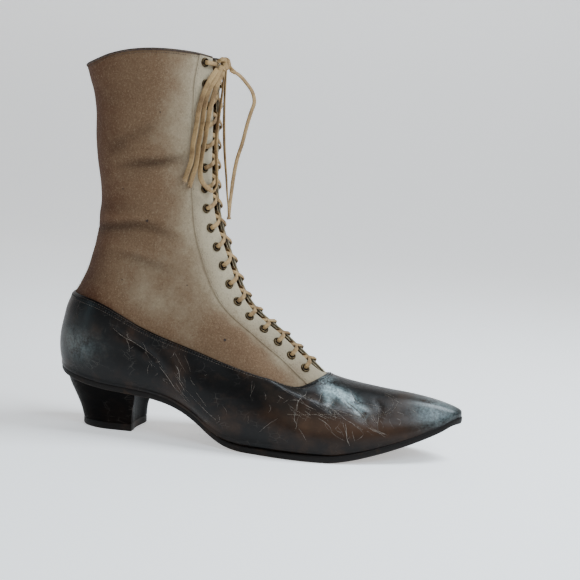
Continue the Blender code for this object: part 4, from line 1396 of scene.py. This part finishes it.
# Dusty cracks where the polish has broken: width in millimetres and the line by level and angle
crackLines = [
    (0.42, [(0.93, 2.544), (0.74, 2.256), (0.61, 2.126), (0.45, 2.013)]),
    (0.4, [(0.893, 2.679), (0.824, 2.521), (0.654, 2.288)]),
    (0.5, [(0.83, 2.733), (0.698, 2.602), (0.56, 2.508), (0.428, 2.427), (0.302, 2.342)]),
    (0.45, [(0.742, 2.607), (0.572, 2.472), (0.415, 2.387)]),
    (0.35, [(0.283, 2.126), (0.346, 2.198), (0.415, 2.265)]),
    (0.4, [(0.43, 2.3), (0.333, 2.234), (0.195, 2.162), (0.088, 2.135)]),
    (0.35, [(0.522, 2.656), (0.39, 2.503), (0.283, 2.396), (0.132, 2.306)]),
    (0.4, [(0.352, 2.13), (0.245, 2.121), (0.164, 2.139)]),
    (0.3, [(0.943, 2.076), (0.78, 1.942), (0.572, 1.82)]),
    (0.3, [(0.755, 2.005), (0.642, 1.951), (0.566, 1.892)]),
    (0.3, [(0.66, 2.099), (0.698, 2.171), (0.686, 2.211)]),
    (0.4, [(0.78, 2.584), (0.616, 2.351), (0.465, 2.243)]),
    (0.4, [(0.792, 2.818), (0.667, 2.652), (0.604, 2.62)]),
    (0.3, [(0.604, 2.022), (0.66, 2.09), (0.717, 2.162)]),
    (0.35, [(0.774, 0.957), (0.717, 1.029), (0.71, 1.097), (0.692, 1.146), (0.66, 1.205), (0.616, 1.236)]),
    (0.5, [(0.53, 1.242), (0.44, 1.267), (0.358, 1.281), (0.264, 1.29)]),
    (0.45, [(0.7, 1.397), (0.642, 1.402), (0.484, 1.366)]),
    (0.3, [(0.78, 1.348), (0.862, 1.393)]), (0.35, [(0.805, 1.411), (0.887, 1.456)]),
    (0.3, [(0.855, 1.474), (0.918, 1.51)]), (0.3, [(0.704, 1.582), (0.761, 1.645)]),
    (0.35, [(0.893, 2.049), (0.648, 1.861), (0.553, 1.816)]),
    (0.35, [(0.101, 1.384), (0.119, 1.447)]), (0.3, [(0.233, 1.321), (0.176, 1.317)]),
]
crackShape = {"fine": 260, "length": (0.02, 0.11), "width": (0.07, 0.15), "seed": 7}


def makeCracks(finish):
    shapes = []
    for width, line in crackLines:
        for mirror in (False, True):
            places, normals = skinPath(line, vampShape["offset"] - 0.1, 0.8, mirror)
            if len(places) > 3:
                shapes.append(ribbonShape(places, normals, width * 0.62, 0.16))
    # Fine cracks fan out from the flexing part of the vamp and from the waist
    random = np.random.default_rng(crackShape["seed"])
    for i in range(crackShape["fine"]):
        atVamp = random.random() < 0.74
        level = random.uniform(0.16, 0.84)
        angle = random.normal(2.36, 0.2) if atVamp else random.normal(1.36, 0.17)
        angle = min(angle, 3.05)
        reach = random.uniform(*crackShape["length"])
        lean = random.normal(0.4, 0.3) if atVamp else random.normal(0.1, 0.4)
        bend = random.normal(0, 0.012)
        steps = np.linspace(-1, 1, 4)
        line = [
            (float(np.clip(level + reach * step, 0.03, 0.96)), angle + lean * reach * step + bend * (1 - step * step))
            for step in steps
        ]
        places, normals = skinPath(line, vampShape["offset"] + 0.0, 0.9, bool(i % 2))
        if len(places) > 3:
            shapes.append(ribbonShape(places, normals, random.uniform(*crackShape["width"]), 0.03))
    return rideRoot(newPiece("polish_cracks", *joined(shapes), finish), "black_leather")


# Collar: a dark bound edge with a row of stitches under it
collarShape = {"halfWidth": 1.35, "height": 0.8, "lift": 0.15}


def makeCollarEdge(finish):
    half = [np.linspace(0, lastAngle(topLevel, side), 130) * side for side in (-1, 1)]
    angles = np.concatenate([half[0][::-1], half[1][1:]])
    normals = skinNormal(7.99, angles)
    places = skin(topLevel, angles) - normals * 0.62 + np.array([0, 0, collarShape["lift"]])
    turn = np.linspace(0, 2 * math.pi, 12, endpoint=False)
    section = np.stack([np.cos(turn) * collarShape["halfWidth"], np.sin(turn) * collarShape["height"]], axis=-1)
    points, faces = sweep(places, normals, section)
    return rideRoot(newPiece("collar_binding", points, faces, finish), "cloth")


def makeCollarStitches(finish):
    places, normals = edgePath(topLevel, 1.9, 0.06, 0.9, 0.5)
    return rideRoot(newPiece("collar_stitches", *stitchShapes(places, normals, 1.5, 0.95, 0.16), finish), "cloth")


# Back seam of the cloth, with one row of stitches on each side. The pale nap that has worn up on it is made with the
# wool fibres below
def makeBackSeam(finish):
    shapes = []
    for mirror in (False, True):
        line = [(level, 0.075) for level in np.linspace(1.03, 7.85, 30)]
        places, normals = skinPath(line, 0.03, 0.5, mirror)
        shapes.append(stitchShapes(places, normals, 1.6, 1.1, 0.15))
    return rideRoot(newPiece("back_seam_stitches", *joined(shapes), finish), "cloth")


fuzzShape = {"seed": 11, "body": 5200, "back": 1500, "length": (0.5, 1.5), "radius": 0.035}


# Many tapered fibres at once: each has two three-sided rings and a tip
def fibreShapes(places, ways, lengths, radius, random):
    count = len(places)
    sides = np.cross(ways, random.normal(size=(count, 3)))
    sides /= np.linalg.norm(sides, axis=1, keepdims=True)
    ups = np.cross(ways, sides)
    bends = sides * (random.normal(0, 0.35, count) * lengths)[:, None]
    reaches = ways * lengths[:, None]
    corners = []
    for centre, size in ((places, 1.0), (places + reaches * 0.5 + bends * 0.2, 0.7)):
        for turn in np.radians((0, 120, 240)):
            corners.append(centre + (sides * math.cos(turn) + ups * math.sin(turn)) * radius * size)
    corners.append(places + reaches + bends)
    points = np.stack(corners, axis=1).reshape(-1, 3)
    base = [[0, 1, 4, 3], [1, 2, 5, 4], [2, 0, 3, 5], [3, 4, 6], [4, 5, 6], [5, 3, 6], [2, 1, 0]]
    faces = [[7 * i + corner for corner in face] for i in range(count) for face in base]
    return points, faces


def makeFuzz(finish):
    random = np.random.default_rng(fuzzShape["seed"])
    count, back = fuzzShape["body"] + fuzzShape["back"], fuzzShape["back"]
    onBack = np.arange(count) < back
    levelsAt = np.where(onBack, random.uniform(1.02, 5.6, count), random.uniform(1.02, 7.9, count))
    anglesAt = np.where(onBack, random.normal(0, 0.09, count), random.uniform(-2.6, 2.6, count))
    places, normals = skinAt(levelsAt, anglesAt)
    ways = normals + random.normal(size=(count, 3)) * np.where(onBack, 0.7, 1.1)[:, None]
    ways += normals * (np.sum(ways * normals, axis=1, keepdims=True) < 0.15)
    ways /= np.linalg.norm(ways, axis=1, keepdims=True)
    lengths = random.uniform(*fuzzShape["length"], count) * np.where(onBack, 1.3, 0.75)
    shape = fibreShapes(places - normals * 0.1, ways, lengths, fuzzShape["radius"], random)
    return rideRoot(newPiece("wool_fuzz", *shape, finish, False), "cloth")


# Frayed tips of the two hanging ends
frayShape = {"seed": 5, "count": 46, "length": (1.8, 4.6), "radius": 0.09, "spread": 0.38}


def makeFrays(finish):
    random = np.random.default_rng(frayShape["seed"])
    shapes = []
    for name in ("bow_end_outer", "bow_end_under"):
        route = np.array(bowRoutes[name])[:, :3]
        tip, way = route[-1], route[-1] - route[-2]
        way = way / np.linalg.norm(way)
        count = frayShape["count"]
        ways = way + random.normal(size=(count, 3)) * frayShape["spread"]
        ways /= np.linalg.norm(ways, axis=1, keepdims=True)
        starts = tip + random.normal(size=(count, 3)) * 0.5 - way
        lengths = random.uniform(*frayShape["length"], count)
        shapes.append(fibreShapes(starts, ways, lengths, frayShape["radius"], random))
    return rideRoot(newPiece("lace_frays", *joined(shapes), finish, False), "lace_braid")


# Moth holes in the cloth: level, angle, radius in millimetres
mothHoles = [(4.517, 1.596, 0.7), (1.775, 2.054, 0.75), (5.3, 1.2, 0.4), (2.6, 1.1, 0.4), (6.9, 1.9, 0.4), (3.2, 2.0, 0.35)]


def makeMothHoles(finish):
    shapes = []
    for level, angle, radius in mothHoles:
        places, normals = skinPath([(level, angle - 0.006), (level + 0.001, angle + 0.006)], -0.02, 0.05)
        middle, normal = places[len(places) // 2], normals[len(normals) // 2]
        across = np.cross((0, 0, 1.0), normal)
        across /= np.linalg.norm(across)
        up = np.cross(normal, across)
        turn = np.linspace(0, 2 * math.pi, 14, endpoint=False)
        uneven = radius * (1 + 0.22 * np.sin(turn * 3 + level) + 0.12 * np.sin(turn * 5))
        rings = []
        for size, lift in ((1.15, 0.02), (1.0, 0.12), (0.7, 0.06), (0.25, 0.04)):
            rings.append([middle + (across * math.cos(a) + up * math.sin(a)) * r * size + normal * lift
                          for a, r in zip(turn, uneven)])
        faces = gridFaces(4, len(turn), wrapColumns=True)
        faces.append([3 * len(turn) + i for i in range(len(turn))])
        faces.append(list(range(len(turn)))[::-1])
        shapes.append((np.array(rings).reshape(-1, 3), [face[::-1] for face in faces]))
    return rideRoot(newPiece("moth_holes", *joined(shapes), finish), "cloth")


darkThread = threadFinish("dark_thread", linear(84, 72, 62), linear(30, 25, 22))
paleThread = threadFinish("pale_thread", linear(150, 136, 114), linear(88, 72, 56))
holeFinish = threadFinish("pinhole_shadow", linear(10, 8, 7), linear(4, 3, 3))
mothFinish = threadFinish("moth_shadow", linear(52, 34, 24), linear(26, 17, 12))
dustFinish = threadFinish("polish_dust", linear(150, 140, 130), linear(84, 74, 66))
bindingFinish = threadFinish("binding_tape", linear(70, 52, 40), linear(38, 28, 22))
fuzzFinish = threadFinish("wool_fibre", linear(150, 128, 100), linear(104, 80, 58))
makeFoxingStitches(darkThread)
makePinholes(holeFinish)
makeOrnament(threadFinish("ornament_thread", linear(120, 108, 94), linear(60, 52, 46)))
makeFacingStitches(paleThread)
makeCollarEdge(bindingFinish)
makeCollarStitches(darkThread)
makeBackSeam(paleThread)
print("stitches made")
makeCracks(dustFinish)
makeMothHoles(mothFinish)
makeFuzz(fuzzFinish)
makeFrays(fuzzFinish)
print("wear made")

# ---- kept CAD node: the insole, in plain leather
innerLeather = Finish("insole_leather_worn", Roughness=0.75)
footPrint = innerLeather.noise(18, 4, 0.6)
innerLeather.feed("Base Color", innerLeather.mix(linear(170, 142, 106), linear(92, 70, 48), footPrint.ramp(0.35, 0.7)))
innerLeather.bump(innerLeather.noise(1.0, 3), 0.1)
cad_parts["insole"].material_slots[0].material = innerLeather.material


# ---- floor, lights and background
studio = {
    "floor": linear(250, 250, 250),
    "reach": 2.6,
    "backStart": 1.1,
    "backHeight": 2.4,
    "glow": 0.54,
    "world": (0.95, 0.97, 1.0),
    "worldStrength": 0.1,
}


# Pale paper floor that curves up into a backdrop
def makeFloor():
    finish = Finish("floor_paper", Roughness=0.95)
    finish.shader.inputs["Base Color"].default_value = studio["floor"]
    finish.shader.inputs["Emission Color"].default_value = (1, 1, 1, 1)
    finish.shader.inputs["Emission Strength"].default_value = studio["glow"]
    profile = [(-studio["reach"], 0.0), (studio["backStart"], 0.0)]
    bend = 0.5
    for turn in np.linspace(0, math.pi / 2, 14)[1:]:
        profile.append((studio["backStart"] + bend * math.sin(turn), bend * (1 - math.cos(turn))))
    profile.append((studio["backStart"] + bend, studio["backHeight"]))
    points = [(x, y, z) for y, z in profile for x in (-studio["reach"] * 2, studio["reach"] * 2)]
    faces = [(2 * i, 2 * i + 1, 2 * i + 3, 2 * i + 2) for i in range(len(profile) - 1)]
    mesh = bpy.data.meshes.new("floor")
    mesh.from_pydata(points, [], faces)
    mesh.shade_smooth()
    mesh.materials.append(finish.material)
    floor = bpy.data.objects.new("floor", mesh)
    bpy.context.scene.collection.objects.link(floor)


lights = [
    # name, place, width, height, watts, colour
    ("window", (0.62, 0.1, 0.95), 0.4, 0.5, 15.0, (0.82, 0.92, 1.0)),
    ("front_fill", (0.35, -1.5, 0.75), 0.7, 0.5, 3.2, (1.0, 0.93, 0.83)),
    ("back_left", (-0.75, -0.45, 0.2), 0.12, 0.4, 0.8, (0.6, 0.88, 1.0)),
    ("toe_sheen", (0.55, -0.35, 0.5), 0.25, 0.3, 2.4, (0.7, 0.86, 1.0)),
]


def makeLights():
    for name, place, width, height, watts, colour in lights:
        data = bpy.data.lights.new(name, "AREA")
        data.shape = "RECTANGLE"
        data.size, data.size_y = width, height
        data.energy = watts
        data.color = colour
        item = bpy.data.objects.new(name, data)
        item.location = place
        aim = Vector((0.06, 0, 0.1)) - Vector(place)
        item.rotation_euler = aim.to_track_quat("-Z", "Y").to_euler()
        bpy.context.scene.collection.objects.link(item)
    world = bpy.data.worlds.new("studio")
    world.use_nodes = True
    background = world.node_tree.nodes["Background"]
    background.inputs["Color"].default_value = (*studio["world"], 1)
    background.inputs["Strength"].default_value = studio["worldStrength"]
    bpy.context.scene.world = world


makeFloor()
makeLights()
print("studio set")
